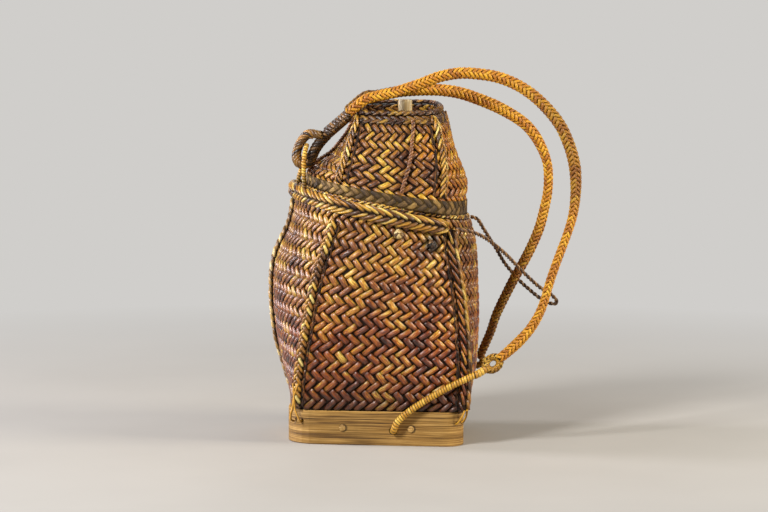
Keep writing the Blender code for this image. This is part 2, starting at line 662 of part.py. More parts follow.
def make_base():
    """The bent hoop, its pegs and battens, and the woven floor that they carry."""
    rings = []
    for inset, height in (
        (HOOP_CHAMFER, 0.0), (0.0, HOOP_CHAMFER), (0.0, HOOP_HEIGHT - HOOP_CHAMFER), (HOOP_CHAMFER, HOOP_HEIGHT),
        (HOOP_THICKNESS - HOOP_CHAMFER, HOOP_HEIGHT), (HOOP_THICKNESS, HOOP_HEIGHT - HOOP_CHAMFER),
        (HOOP_THICKNESS, HOOP_CHAMFER), (HOOP_THICKNESS - HOOP_CHAMFER, 0.0),
    ):
        rings.append([Vector((x, y, height)) for x, y in hoop_outline(inset)])
    hoop = add_solid("base_hoop", loft(rings, closed=True), "hoop wood")

    cutters = []
    batten_low = PEG_HEIGHT - BATTEN_HEIGHT / 2
    batten_high = PEG_HEIGHT + BATTEN_HEIGHT / 2
    inner = HOOP_THICKNESS + BATTEN_END_GAP
    side_length = (hoop_corners(inner)[1] - hoop_corners(inner)[0]).length
    half_share = BATTEN_WIDTH / 2 / side_length
    for side_name, share in zip(("left", "right"), PEG_SHARES):
        outline = [
            hoop_side(True, share - half_share, inner)[0], hoop_side(True, share + half_share, inner)[0],
            hoop_side(False, share + half_share, inner)[0], hoop_side(False, share - half_share, inner)[0],
        ]
        batten = add_solid("floor_batten_" + side_name, prism(outline, batten_low, batten_high), "hoop wood")
        sockets = []
        for end_name, front in (("front", True), ("back", False)):
            face, outward = hoop_side(front, share)
            start = Vector((face.x, face.y, PEG_HEIGHT))
            out = Vector((outward.x, outward.y, 0))
            depth = HOOP_THICKNESS + BATTEN_END_GAP + PEG_DEPTH
            profile = [(PEG_RADIUS, -depth)] + [(PEG_RADIUS * a, PEG_PROUD * b) for a, b in PEG_TIP_SHARES]
            add_solid("hoop_peg_" + end_name + "_" + side_name, turned(profile, start, out), "peg wood")
            bore = PEG_RADIUS + PEG_FIT
            cutters.append(turned(((bore, -HOOP_THICKNESS - CUT_OVERRUN), (bore, CUT_OVERRUN)), start, out))
            sockets.append(turned(((bore, -depth - GAP), (bore, -HOOP_THICKNESS)), start, out))
        cut(batten, add_cutter("peg_sockets_" + side_name, sockets))

    for front in (True, False):
        face, outward = hoop_side(front, CORD_HOLE_SHARE)
        start = Vector((face.x, face.y, CORD_HOLE_HEIGHT))
        out = Vector((0, -1 if front else 1, 0))
        profile = ((CORD_HOLE_RADIUS, -HOOP_THICKNESS - CUT_OVERRUN), (CORD_HOLE_RADIUS, CUT_OVERRUN))
        cutters.append(turned(profile, start, out))

    for corner in range(4):
        for hand_name, hand in (("left", -1), ("right", 1)):
            start, lip, inside, face = tail_route(corner, hand)
            hole = TAIL_RADIUS + TAIL_HOLE_FIT
            out = (lip - inside).normalized()
            cutters.append(turned(((hole, -CUT_OVERRUN / 3), (hole, TAIL_DEPTH + CUT_OVERRUN)), inside, out))
            name = "rib_tail_" + CORNER_NAMES[corner] + "_" + hand_name
            tube(name, [start, (start + lip) / 2 + Vector((face.x, face.y, 0)) * TAIL_RADIUS, lip, inside],
                 TAIL_RADIUS, "golden rattan")
    cut(hoop, add_cutter("hoop_holes", cutters))

    floor_low = batten_high + GAP
    outside = HOOP_THICKNESS + FLOOR_FIT
    inside = outside + FLOOR_WALL
    rings = [
        [Vector((x, y, height)) for x, y in hoop_outline(inset)]
        for inset, height in (
            (outside, floor_low), (outside, HOOP_HEIGHT), (inside, HOOP_HEIGHT), (inside, floor_low + FLOOR_WALL),
        )
    ]
    add_solid("woven_floor", loft(rings), "dark rattan")


def rim_level(x):
    return mouth_height(x) - RIM_BRAID_DROP - RIM_BRAID_EXTRA_SLOPE * x


def reach_along(outline, direction):
    """How far a closed outline lies from the axis in a direction."""
    best = 0.0
    for index, start in enumerate(outline):
        along = outline[(index + 1) % len(outline)] - start
        across = direction.x * along.y - direction.y * along.x
        if across == 0:
            continue
        share = (start.x * direction.y - start.y * direction.x) / across
        distance = (start.x * along.y - start.y * along.x) / across
        if -FRAME_SHARE <= share <= 1 + FRAME_SHARE and distance > 0:
            best = max(best, distance)
    return best


def make_collar():
    """The inner neck: its skirt lies inside the body's wall, and its upstand fits inside the lid."""
    skirt = [Vector(body_place(u, 1.0, -WALL - FIT)[:2]) for u in around()]
    insides = [
        [Vector(lid_place(u, row / LID_ROWS, -LID_WALL - COLLAR_FIT)[:2]) for u in around()]
        for row in range(COLLAR_LID_ROWS)
    ]
    upstand = []
    for flat in skirt:
        reach = min(flat.length, min(reach_along(inside, flat.normalized()) for inside in insides))
        upstand.append(flat.normalized() * reach)
    rings = []
    for outline, inset, rise in (
        (skirt, 0.0, -COLLAR_DEPTH), (skirt, 0.0, -GAP), (upstand, 0.0, 0.0), (upstand, 0.0, COLLAR_RISE),
        (upstand, COLLAR_WALL, COLLAR_RISE), (upstand, COLLAR_WALL, -COLLAR_WALL),
        (skirt, COLLAR_WALL, -COLLAR_WALL - GAP), (skirt, COLLAR_WALL, -COLLAR_DEPTH),
    ):
        ring = []
        for flat in outline:
            moved = flat - flat.normalized() * inset
            ring.append(Vector((moved.x, moved.y, mouth_height(moved.x) + rise)))
        rings.append(ring)
    add_solid("mouth_collar", loft(rings, closed=True), "dark rattan")


def make_body():
    """The woven wall, its corner ribs, the braids round its mouth, the collar and two knots."""
    shell("body_wall", body_place, WALL, WEAVE_RELIEF, WALL_ROWS, WALL_INNER_ROWS, "dark rattan")
    for corner, corner_name in enumerate(CORNER_NAMES):
        wide = corner in (1, 2)
        width = WIDE_RIB_WIDTH if wide else CORNER_RIB_WIDTH
        rib("body_rib_" + corner_name, body_place, corner, corner, RIB_FOOT_SHARE, RIB_TOP_SHARES[corner], width,
            RIB_THICKNESS, WALL_ROWS, "golden rattan")

    section = station(BODY_SHARES, RIB_TOP_SHARES[1])
    clear = (WIDE_RIB_WIDTH / 2 + FIT) / (section[0][1] - section[0][0]).length
    first = 2 + clear
    last = 5 - clear
    steps = 3 * SIDE_STEPS
    us = [mix(first, last, index / steps) for index in range(steps + 1)]
    belt("rim_braid", body_place, rim_level, RIM_BRAID_HEIGHT, RIM_BRAID_THICKNESS, us, "golden rattan")
    edge = [
        [body_place(u, 1.0, outset, rise) for u in around()]
        for outset, rise in (
            (-EDGE_BRAID_SET_BACK, GAP), (-EDGE_BRAID_SET_BACK, GAP + EDGE_BRAID_HEIGHT),
            (-WALL, GAP + EDGE_BRAID_HEIGHT), (-WALL, GAP),
        )
    ]
    add_solid("edge_braid", loft(edge, closed=True), "golden rattan")
    make_collar()

    for name, radius, u, drop, finish in zip(
        ("rosette_knot_light", "rosette_knot_dark"), ROSETTE_RADII, ROSETTE_SIDE_SHARES, ROSETTE_DROPS,
        ("bamboo", "dark rattan"),
    ):
        share = share_at(body_place, u, lambda x: rim_level(x) - RIM_BRAID_HEIGHT / 2 - drop)
        centre, sideways, upward, outward = frame_on(body_place, u, share)
        profile = [(radius * a, ROSETTE_THICKNESS * b) for a, b in ROSETTE_PROFILE_SHARES]
        add_solid(name, turned(profile, centre, outward), finish)


def make_lid():
    """The woven lid with its band, ribs and cords, the plaited ring round its top, and the bamboo knob."""
    shell("lid_wall", lid_place, LID_WALL, LID_WEAVE_RELIEF, LID_ROWS, LID_ROWS, "dark rattan")

    levels = (0.0, 1 / LID_ROWS, LID_BAND_SHARE)
    outer = [[lid_place(u, share, FIT + LID_BAND_THICKNESS) for u in around()] for share in levels]
    inner = [[lid_place(u, share, FIT) for u in around()] for share in reversed(levels)]
    add_solid("lid_band", loft(outer + inner, closed=True), "band rattan")

    for corner, corner_name in enumerate(CORNER_NAMES):
        rib("lid_rib_" + corner_name, lid_place, corner, corner, LID_RIB_START_SHARE, LID_RIB_END_SHARE,
            LID_RIB_WIDTH, LID_RIB_THICKNESS, LID_ROWS, "golden rattan")

    for side, side_name in enumerate(("front", "right", "back", "left")):
        places = []
        for row in range(LID_ROWS + 1):
            part = row / LID_ROWS
            u = side + mix(LID_CORD_FOOT_SHARES[side], LID_CORD_TOP_SHARES[side], part)
            share = mix(LID_CORD_START_SHARE, LID_CORD_END_SHARE, part)
            centre, sideways, upward, outward = frame_on(lid_place, u, share)
            places.append(centre + outward * (LID_CORD_RADIUS + FIT))
        tube("lid_cord_" + side_name, places, LID_CORD_RADIUS, "golden rattan")

    ring = [
        [lid_place(u, 1.0, TOP_RING_OUT - TOP_RING_WALL * (1 - out), GAP + TOP_RING_HEIGHT * up) for u in around()]
        for out, up in TOP_RING_SECTION_SHARES
    ]
    add_solid("lid_top_ring", loft(ring, closed=True), "golden rattan")

    panel = []
    for drop in (TOP_PANEL_DROP + TOP_PANEL_THICKNESS, TOP_PANEL_DROP):
        panel.append([])
        for u in around():
            share = 1 - drop / (lid_place(u, 1.0).z - lid_place(u, 0.0).z)
            place = lid_place(u, share, -LID_WALL - FIT - GAP)
            panel[-1].append(Vector((place.x, place.y, LID_TOP_HEIGHT + LID_TOP_SLOPE * place.y - drop)))
    panel = add_solid("lid_top_panel", loft(panel), "dark rattan")
    x, y = (REACH * share for share in KNOB_PLACE_SHARES)
    surface = LID_TOP_HEIGHT + LID_TOP_SLOPE * y - TOP_PANEL_DROP
    slant = LID_TOP_SLOPE * KNOB_RADIUS
    foot = Vector((x, y, surface))
    up = Vector((0, 0, 1))
    pin_bore = KNOB_PIN_RADIUS + GAP
    hole = turned(((pin_bore, -TOP_PANEL_THICKNESS - CUT_OVERRUN), (pin_bore, CUT_OVERRUN)), foot, up)
    cut(panel, add_cutter("knob_pin_hole", [hole]))
    base = slant + GAP
    profile = [(KNOB_RADIUS * a, base + KNOB_HEIGHT * b) for a, b in KNOB_PROFILE_SHARES]
    knob = add_solid("lid_knob", turned(profile, foot, up), "bamboo")
    bore_top = base + KNOB_HEIGHT * KNOB_BORE_SHARE
    bore = turned(((KNOB_BORE_RADIUS, base - CUT_OVERRUN), (KNOB_BORE_RADIUS, bore_top)), foot, up)
    cut(knob, add_cutter("knob_bore", [bore]))
    washer_top = -TOP_PANEL_THICKNESS - slant - GAP
    washer_low = washer_top - WASHER_THICKNESS
    pin_low = washer_low - KNOB_PIN_TAIL
    add_solid("knob_pin", turned((
        (KNOB_PIN_RADIUS, pin_low), (KNOB_PIN_RADIUS, washer_low), (WASHER_RADIUS, washer_low),
        (WASHER_RADIUS, washer_top), (KNOB_PIN_RADIUS, washer_top), (KNOB_PIN_RADIUS, bore_top - GAP),
    ), foot, up), "peg wood")


def strap_neck():
    """The bound neck of the two straps: a flat core and the whipping round it."""
    start, end = (Vector(place) for place in NECK_ROUTE)
    along = (end - start).normalized()
    across = Vector((0, 1, 0))
    upward = along.cross(across).normalized()
    if upward.z < 0:
        upward = -upward

    def oval(centre, outset, angle):
        return (
            centre + across * ((NECK_HALF_WIDTH + outset) * math.cos(angle))
            + upward * ((NECK_HALF_HEIGHT + outset) * math.sin(angle))
        )

    rings = [
        [oval(place, 0.0, math.tau * step / ROUND_STEPS) for step in range(ROUND_STEPS)] for place in (start, end)
    ]
    add_solid("strap_neck", loft(rings), "dark rattan")

    margin = (end - start).length / (WHIPPING_TURNS + 1) / 2
    places = []
    for index in range(WHIPPING_TURNS * TURN_STEPS + 1):
        turn = index / TURN_STEPS
        run = margin + (((end - start).length - 2 * margin) * turn / WHIPPING_TURNS)
        outset = WHIPPING_RADIUS + GAP * 2
        places.append(oval(start + along * run, outset, math.tau * turn))
    least = min(
        (a - b).length for first, a in enumerate(places) for b in places[first + TURN_STEPS // 2:]
    ) - 2 * WHIPPING_RADIUS
    print("whipping, least gap to itself in metres:", round(least, 5))
    tube("strap_whipping", places, WHIPPING_RADIUS, "dark rattan", resolution=1)


def make_straps():
    """The link, the eye and neck, both shoulder straps with their end eyes and leaders, and the tether loop."""
    tube("strap_link", smooth_route(LINK_ROUTE, LINK_RADIUS * 4), LINK_RADIUS, "golden rattan")
    tube("strap_eye", smooth_route(EYE_ROUTE, EYE_RADIUS * 1.5), EYE_RADIUS, "dark rattan")
    strap_neck()
    for side_name, strap_route, leader_route in (
        ("front", STRAP_FRONT_ROUTE, LEADER_FRONT_ROUTE), ("rear", STRAP_REAR_ROUTE, LEADER_REAR_ROUTE),
    ):
        strap = smooth_route(strap_route, STRAP_RADIUS * 4)
        tube("shoulder_strap_" + side_name, strap, STRAP_RADIUS, "strap rattan")
        leader = smooth_route(leader_route, LEADER_RADIUS * 4)
        tube("leader_" + side_name, leader, LEADER_RADIUS, "golden rattan")
        meeting = (strap[-1] + leader[0]) / 2
        along = (strap[-1] - leader[0]).normalized()
        across = along.cross(Vector((0, 1, 0))).normalized()
        flat = along.cross(across)
        ring = []
        for step in range(ROUND_STEPS):
            angle = math.tau * step / ROUND_STEPS
            out = along * math.cos(angle) + across * math.sin(angle)
            ring.append([
                meeting + out * (END_EYE_RADIUS + END_EYE_TUBE_RADIUS * math.cos(math.tau * k / EYE_TUBE_STEPS))
                + flat * (END_EYE_TUBE_RADIUS * math.sin(math.tau * k / EYE_TUBE_STEPS))
                for k in range(EYE_TUBE_STEPS)
            ])
        add_solid("strap_end_eye_" + side_name, loft(ring, closed=True), "strap rattan")
        way = (leader[-1] - leader[-2]).normalized()
        profile = [(STOPPER_RADIUS * a, STOPPER_RADIUS * b) for a, b in STOPPER_PROFILE_SHARES]
        add_solid("stopper_knot_" + side_name, turned(profile, leader[-1], way), "golden rattan")
    tube("tether_loop", smooth_route(TETHER_ROUTE, TETHER_RADIUS * 4), TETHER_RADIUS, "dark rattan")


clear_scene()
make_base()
make_body()
make_lid()
make_straps()
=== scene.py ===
"""A plaited rattan pack basket on a bent-wood hoop: its weave, braids, cords and finishes.

Metres, +Z up, +X to the right, -Y is the front, as in the CAD model that it dresses.
"""
import math

import bmesh
import bpy
import numpy as np
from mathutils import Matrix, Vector


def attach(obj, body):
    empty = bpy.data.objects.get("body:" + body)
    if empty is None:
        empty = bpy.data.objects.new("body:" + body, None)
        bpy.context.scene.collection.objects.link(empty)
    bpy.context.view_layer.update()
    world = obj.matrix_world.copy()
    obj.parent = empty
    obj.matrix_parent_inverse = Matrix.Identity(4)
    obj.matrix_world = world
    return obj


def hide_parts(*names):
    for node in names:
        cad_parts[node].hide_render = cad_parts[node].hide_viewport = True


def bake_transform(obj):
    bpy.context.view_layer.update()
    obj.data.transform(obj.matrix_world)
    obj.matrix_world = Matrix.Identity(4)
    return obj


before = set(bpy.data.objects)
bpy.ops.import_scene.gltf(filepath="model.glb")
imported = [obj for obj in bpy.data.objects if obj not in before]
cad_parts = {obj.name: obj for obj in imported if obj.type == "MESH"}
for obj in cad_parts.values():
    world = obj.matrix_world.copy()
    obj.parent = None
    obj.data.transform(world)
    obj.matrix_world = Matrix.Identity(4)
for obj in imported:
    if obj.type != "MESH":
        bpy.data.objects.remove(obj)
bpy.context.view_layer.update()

# Sizes of the basket, as in the part's source
REACH = 0.115
HOOP_HEIGHT = 0.037
MOUTH_HEIGHT = 0.2594
MOUTH_SLOPE = 0.19
LID_TOP_HEIGHT = 0.3597
LID_TOP_SLOPE = 0.08
WALL = 0.0032
LID_WALL = 0.0028
GAP = 0.0003
FIT = 0.0006
EDGE_BRAID_HEIGHT = 0.0040
EDGE_BRAID_SET_BACK = 0.0006
RIM_BRAID_HEIGHT = 0.0165
RIM_BRAID_THICKNESS = 0.0080
RIM_BRAID_DROP = 0.0075
RIM_BRAID_EXTRA_SLOPE = 0.03
RIB_TOP_SHARES = (0.868, 0.945, 0.945, 0.868)
RIB_FOOT_SHARE = 0.012
RIB_WIDTHS = (0.0105, 0.0150, 0.0150, 0.0105)
RIB_THICKNESS = 0.0050
LID_BAND_SHARE = 0.14
LID_BAND_THICKNESS = 0.0018
LID_RIB_WIDTH = 0.0090
LID_RIB_THICKNESS = 0.0042
LID_RIB_SHARES = (0.165, 0.975)
LID_CORD_RADIUS = 0.0018
LID_CORD_SHARES = (0.165, 0.95)
LID_CORD_TOP_SHARES = (0.72, 0.70, 0.50, 0.55)
LID_CORD_FOOT_SHARES = (0.60, 0.76, 0.46, 0.50)
TOP_RING_HEIGHT = 0.0041
TOP_RING_OUT = 0.0012
TOP_RING_WALL = 0.0058
TOP_PANEL_DROP = 0.0085
STRAP_RADIUS = 0.0054
LEADER_RADIUS = 0.0035
LINK_RADIUS = 0.0026
NECK_HALF_WIDTH = 0.0125
NECK_HALF_HEIGHT = 0.0058
END_EYE_RADIUS = 0.0068
END_EYE_TUBE_RADIUS = 0.0028
HOOP_THICKNESS = 0.006
HOOP_CORNER_SHARES = ((-0.846, -0.67), (0.819, -0.895), (0.852, 0.713), (-0.80, 0.782))
FLOOR_LOW = 0.02555
FLOOR_WALL = 0.003
COLLAR_FIT = 0.0012
COLLAR_LID_ROWS = 4
COLLAR_RISE = 0.0165
STOPPER_RADIUS = 0.0056
ROSETTE_RADII = (0.0062, 0.0056)
ROSETTE_SIDE_SHARES = (0.53, 0.82)
ROSETTE_DROPS = (0.0078, 0.0120)
TAIL_RADIUS = 0.0011
TAIL_LENGTH = 0.013
TAIL_SPREAD = 0.0055
TAIL_DEPTH = 0.0035
SIDE_STEPS = 10
FRAME_SHARE = 0.02
CORNER_NAMES = ("front_left", "front_right", "back_right", "back_left")

# The body and the lid at shares of their heights, as in the part's source: corners, bulges of the sides, rounding
BODY_SHARES = (
    (0.00, ((-0.80, -0.68), (0.86, -0.89), (0.90, 0.73), (-0.81, 0.77)), (0.00, 0.01, 0.01, 0.01), 0.13),
    (0.10, ((-0.78, -0.71), (0.87, -0.86), (0.90, 0.75), (-0.875, 0.75)), (0.03, 0.02, 0.03, 0.02), 0.12),
    (0.20, ((-0.75, -0.74), (0.87, -0.83), (0.88, 0.78), (-0.935, 0.68)), (0.06, 0.05, 0.06, 0.04), 0.11),
    (0.30, ((-0.71, -0.77), (0.86, -0.78), (0.84, 0.81), (-0.98, 0.60)), (0.09, 0.075, 0.10, 0.05), 0.10),
    (0.50, ((-0.63, -0.80), (0.82, -0.69), (0.75, 0.83), (-1.0, 0.43)), (0.165, 0.13, 0.17, 0.085), 0.09),
    (0.65, ((-0.56, -0.82), (0.78, -0.65), (0.68, 0.83), (-0.965, 0.37)), (0.175, 0.165, 0.185, 0.095), 0.08),
    (0.80, ((-0.46, -0.80), (0.72, -0.63), (0.59, 0.81), (-0.83, 0.34)), (0.165, 0.215, 0.185, 0.105), 0.08),
    (0.90, ((-0.40, -0.77), (0.70, -0.59), (0.54, 0.78), (-0.78, 0.32)), (0.155, 0.235, 0.175, 0.115), 0.08),
    (1.00, ((-0.39, -0.74), (0.70, -0.57), (0.52, 0.76), (-0.77, 0.31)), (0.155, 0.212, 0.175, 0.115), 0.08),
)
LID_SHARES = (
    (0.00, ((-0.36, -0.68), (0.63, -0.66), (0.61, 0.70), (-0.57, 0.47)), (0.14, 0.17, 0.16, 0.15), 0.08),
    (0.15, ((-0.35, -0.67), (0.62, -0.66), (0.61, 0.69), (-0.57, 0.47)), (0.14, 0.18, 0.16, 0.155), 0.08),
    (0.30, ((-0.34, -0.63), (0.63, -0.64), (0.62, 0.65), (-0.49, 0.46)), (0.12, 0.192, 0.15, 0.14), 0.08),
    (0.45, ((-0.30, -0.58), (0.64, -0.62), (0.60, 0.60), (-0.37, 0.46)), (0.11, 0.168, 0.13, 0.09), 0.08),
    (0.60, ((-0.27, -0.53), (0.63, -0.57), (0.58, 0.55), (-0.30, 0.44)), (0.10, 0.14, 0.11, 0.05), 0.08),
    (0.75, ((-0.24, -0.48), (0.60, -0.52), (0.57, 0.49), (-0.23, 0.42)), (0.08, 0.13, 0.09, 0.02), 0.09),
    (0.90, ((-0.20, -0.43), (0.57, -0.46), (0.56, 0.43), (-0.17, 0.39)), (0.06, 0.12, 0.07, 0.02), 0.10),
    (1.00, ((-0.17, -0.38), (0.51, -0.41), (0.55, 0.39), (-0.13, 0.37)), (0.05, 0.12, 0.05, 0.02), 0.11),
)

# Cord routes, as in the part's source
STRAP_FRONT_ROUTE = (
    (-0.0290, -0.041, 0.3596), (-0.012, -0.040, 0.3728), (-0.002, -0.037, 0.3754), (0.009, -0.034, 0.3780),
    (0.020, -0.031, 0.3800), (0.031, -0.029, 0.3835), (0.048, -0.028, 0.3890), (0.069, -0.028, 0.3970),
    (0.091, -0.029, 0.4010), (0.113, -0.031, 0.4000), (0.135, -0.034, 0.3960), (0.157, -0.038, 0.3865),
    (0.178, -0.043, 0.3710), (0.198, -0.049, 0.3480), (0.209, -0.054, 0.3250), (0.215, -0.058, 0.3030),
    (0.2165, -0.061, 0.2820), (0.2155, -0.064, 0.2640), (0.2125, -0.067, 0.2460), (0.206, -0.071, 0.2260),
    (0.199, -0.075, 0.2080), (0.1925, -0.079, 0.1910), (0.187, -0.082, 0.1750), (0.182, -0.085, 0.1580),
    (0.1755, -0.088, 0.1420), (0.166, -0.091, 0.1270), (0.154, -0.094, 0.1140), (0.1425, -0.096, 0.1035),
    (0.1342, -0.0978, 0.0969),
)
STRAP_REAR_ROUTE = (
    (-0.0298, -0.027, 0.3612), (-0.012, -0.024, 0.3753), (-0.002, -0.021, 0.3757), (0.009, -0.018, 0.3774),
    (0.020, -0.014, 0.3795), (0.031, -0.010, 0.3808), (0.048, -0.003, 0.3815), (0.070, 0.004, 0.3810),
    (0.092, 0.009, 0.3775), (0.114, 0.013, 0.3700), (0.136, 0.017, 0.3605), (0.158, 0.020, 0.3475),
    (0.172, 0.022, 0.3345), (0.183, 0.024, 0.3165), (0.1895, 0.026, 0.2985), (0.191, 0.028, 0.2815),
    (0.190, 0.029, 0.2645), (0.1865, 0.031, 0.2465), (0.1815, 0.032, 0.2265), (0.173, 0.034, 0.2055),
    (0.1635, 0.036, 0.1865), (0.1535, 0.039, 0.1680), (0.143, 0.043, 0.1465), (0.134, 0.049, 0.1260),
    (0.1285, 0.055, 0.1080), (0.122, 0.063, 0.0910), (0.1176, 0.0699, 0.0799),
)
LEADER_FRONT_ROUTE = (
    (0.1174, -0.1011, 0.0848), (0.110, -0.1030, 0.0802), (0.101, -0.1045, 0.0765), (0.090, -0.1050, 0.0715),
    (0.079, -0.1048, 0.0660), (0.068, -0.1043, 0.0600), (0.058, -0.1036, 0.0540), (0.050, -0.1030, 0.0490),
    (0.042, -0.1026, 0.0438), (0.034, -0.1022, 0.0380), (0.0275, -0.1016, 0.0325), (0.0225, -0.1012, 0.0270),
    (0.0196, -0.1005, 0.0212), (0.0187, -0.0975, 0.0173), (0.0184, -0.0930, 0.0165), (0.0184, -0.0885, 0.0165),
    (0.0184, -0.0825, 0.0165),
)
LEADER_REAR_ROUTE = (
    (0.1096, 0.0816, 0.0645), (0.1075, 0.0868, 0.0602), (0.1000, 0.0950, 0.0582), (0.089, 0.0990, 0.0560),
    (0.079, 0.1005, 0.0533), (0.069, 0.1010, 0.0500), (0.059, 0.1010, 0.0460), (0.051, 0.1007, 0.0420),
    (0.043, 0.1003, 0.0375), (0.0355, 0.0996, 0.0325), (0.0295, 0.0986, 0.0275), (0.0252, 0.0968, 0.0218),
    (0.0232, 0.0930, 0.0176), (0.0226, 0.0880, 0.0165), (0.0225, 0.0820, 0.0165), (0.0225, 0.0755, 0.0165),
)
TETHER_ROUTE = (
    (0.0866, -0.0697, 0.2337), (0.0980, -0.0655, 0.2318), (0.1095, -0.0520, 0.2270), (0.1200, -0.0380, 0.2205),
    (0.1330, -0.0200, 0.2095), (0.1440, -0.0020, 0.1985), (0.1530, 0.0120, 0.1885), (0.1630, 0.0220, 0.1775),
    (0.1810, 0.0350, 0.1600), (0.1915, 0.0410, 0.1530), (0.1990, 0.0445, 0.1465), (0.2020, 0.0480, 0.1415),
    (0.1995, 0.0530, 0.1385), (0.1915, 0.0565, 0.1400), (0.1820, 0.0585, 0.1455), (0.1710, 0.0600, 0.1545),
    (0.1605, 0.0600, 0.1640), (0.1510, 0.0575, 0.1750), (0.1425, 0.0530, 0.1860), (0.1340, 0.0455, 0.2010),
    (0.1265, 0.0380, 0.2130), (0.1180, 0.0290, 0.2270), (0.1120, 0.0225, 0.2366), (0.1046, 0.0180, 0.2396),
)
EYE_ROUTE = (
    (-0.0592, -0.0394, 0.3344), (-0.0635, -0.0388, 0.3342), (-0.0680, -0.0370, 0.3355), (-0.0750, -0.0350, 0.3350),
    (-0.0825, -0.0340, 0.3265), (-0.0872, -0.0340, 0.3155), (-0.0872, -0.0340, 0.3060), (-0.0820, -0.0340, 0.3010),
    (-0.0745, -0.0335, 0.3025), (-0.0695, -0.0325, 0.3090), (-0.0662, -0.0310, 0.3165), (-0.0615, -0.0295, 0.3235),
    (-0.0570, -0.0287, 0.3288), (-0.0533, -0.0286, 0.3327),
)
LINK_ROUTE = (
    (-0.0783, -0.0468, 0.2774), (-0.0788, -0.0466, 0.2860), (-0.0790, -0.0462, 0.2950), (-0.0788, -0.0460, 0.3050),
    (-0.0781, -0.0450, 0.3128), (-0.0769, -0.0421, 0.3188), (-0.0762, -0.0380, 0.3217), (-0.0760, -0.0340, 0.3225),
    (-0.0762, -0.0300, 0.3217), (-0.0772, -0.0256, 0.3188), (-0.0788, -0.0228, 0.3124), (-0.0804, -0.0221, 0.3050),
    (-0.0826, -0.0222, 0.2950), (-0.0850, -0.0222, 0.2870), (-0.0868, -0.0222, 0.2795),
)
NECK_ROUTE = ((-0.0545, -0.034, 0.3350), (-0.0288, -0.034, 0.3572))
NECK_TAIL_ROUTE = (
    (-0.0500, -0.0345, 0.3385), (-0.0590, -0.0350, 0.3305), (-0.0655, -0.0350, 0.3225), (-0.0700, -0.0348, 0.3140),
    (-0.0735, -0.0345, 0.3075),
)

# A strand's stations along its half length, its section across its half width and height, where its ends start to
# dip and how wide they are
STRAND_STATIONS = (-1.0, -0.82, -0.4, 0.4, 0.82, 1.0)
STRAND_SECTION = ((-1.0, 0.0), (-0.93, 0.5), (-0.5, 0.92), (0.0, 1.0), (0.5, 0.92), (0.93, 0.5), (1.0, 0.0))
STRAND_SEAT = 0.56
STRAND_ENDS = 0.82

# Which directions of a face close on themselves: along its rows, along its columns
OPEN = (False, False)
AROUND = (True, False)
ALONG = (False, True)
BOTH = (True, True)

# Plaits: a strand's length, width, height and the dip of its ends; the strands along the face, or their pitch;
# the rows; the lean in degrees; the lift over the face; the jitter; how far tones take turns; the seed
PLAITS = {
    "body weave": ((0.0166, None, 0.0023, 0.0026), 62, 22, 43, -0.0016, 0.9, 0.0, 17),
    "lid weave": ((0.0148, None, 0.0021, 0.0022), 46, 11, 43, -0.0015, 0.7, 0.0, 18),
    "band": ((0.0122, 0.0062, 0.0014, 0.0012), 50, 2, 43, -0.0005, 0.7, 0.0, 19),
    "skirt": ((0.0120, 0.0042, 0.0014, 0.0008), 40, 2, 30, -0.0004, 0.6, 0.0, 81),
    "lip": ((0.0110, 0.0044, 0.0012, 0.0006), 36, 2, 34, -0.0004, 0.6, 0.0, 82),
    "edge": ((0.0082, 0.0030, 0.0012, 0.0008), 88, 2, 30, -0.0006, 0.4, 0.0, 50),
    "top ring": ((0.0095, 0.0040, 0.0016, 0.0010), 40, 3, 38, -0.0008, 0.5, 0.0, 80),
    "top panel": ((0.0110, 0.0050, 0.0010, 0.0006), 11, 12, 45, -0.0006, 0.5, 0.0, 83),
    "collar": ((0.0090, 0.0042, 0.0008, 0.0004), 64, 3, 43, -0.0005, 0.5, 0.0, 57),
    "floor": ((0.0120, 0.0056, 0.0010, 0.0006), 20, 20, 45, -0.0006, 0.5, 0.0, 1),
    "rim": ((0.0235, 0.0042, 0.0030, 0.0018), 0.0088, 2, 24, -0.0012, 0.6, 0.4, 40),
    "left rib": ((0.0130, 0.0040, 0.0024, 0.0016), 0.0070, 2, 40, -0.0008, 0.8, 0.3, 30),
    "long rib": ((0.0200, 0.0050, 0.0030, 0.0022), 0.0110, 1, 15, -0.0009, 0.8, 0.4, 30),
    "short rib": ((0.0185, 0.0032, 0.0028, 0.0020), 0.0112, 1, 25, -0.0009, 1.2, 0.0, 32),
    "lid rib": ((0.0140, 0.0032, 0.0020, 0.0013), 0.0072, 2, 28, -0.0008, 0.8, 0.3, 60),
    # groove: dark strands of painted shadow in the grooves beside the ribs
    "groove": ((0.0150, 0.0015, 0.0011, 0.0012), 0.0090, 2, 13, -0.0006, 2.0, 0.0, 35),
    "strap": ((0.0092, 0.0034, 0.0018, 0.0014), 0.0051, 6, 46, -0.0005, 0.35, 0.0, 11),
    "end eye": ((0.0074, 0.0032, 0.0014, 0.0008), 13, 4, 36, -0.0004, 0.4, 0.0, 21),
}
BODY_STRAND_SHARE = 0.575
LID_STRAND_SHARE = 0.565

# Twisted cords: plies, the length of a turn, how far a ply lies off the middle, its radius, the step along it, seed
TWISTS = {
    "tether": (2, 0.0105, 0.00108, 0.00128, 0.0012, 4),
    "eye outside": (6, 0.024, 0.0030, 0.0019, 0.0012, 3),
    "eye inside": (4, 0.018, 0.0017, 0.0014, 0.0012, 5),
    "neck tail": (5, 0.020, 0.0030, 0.0020, 0.0012, 15),
    "lid cord": (2, 0.008, 0.0010, 0.0013, 0.0012, 70),
    "rib tail": (1, 0.03, 0.0, 0.0013, 0.0010, 90),
}

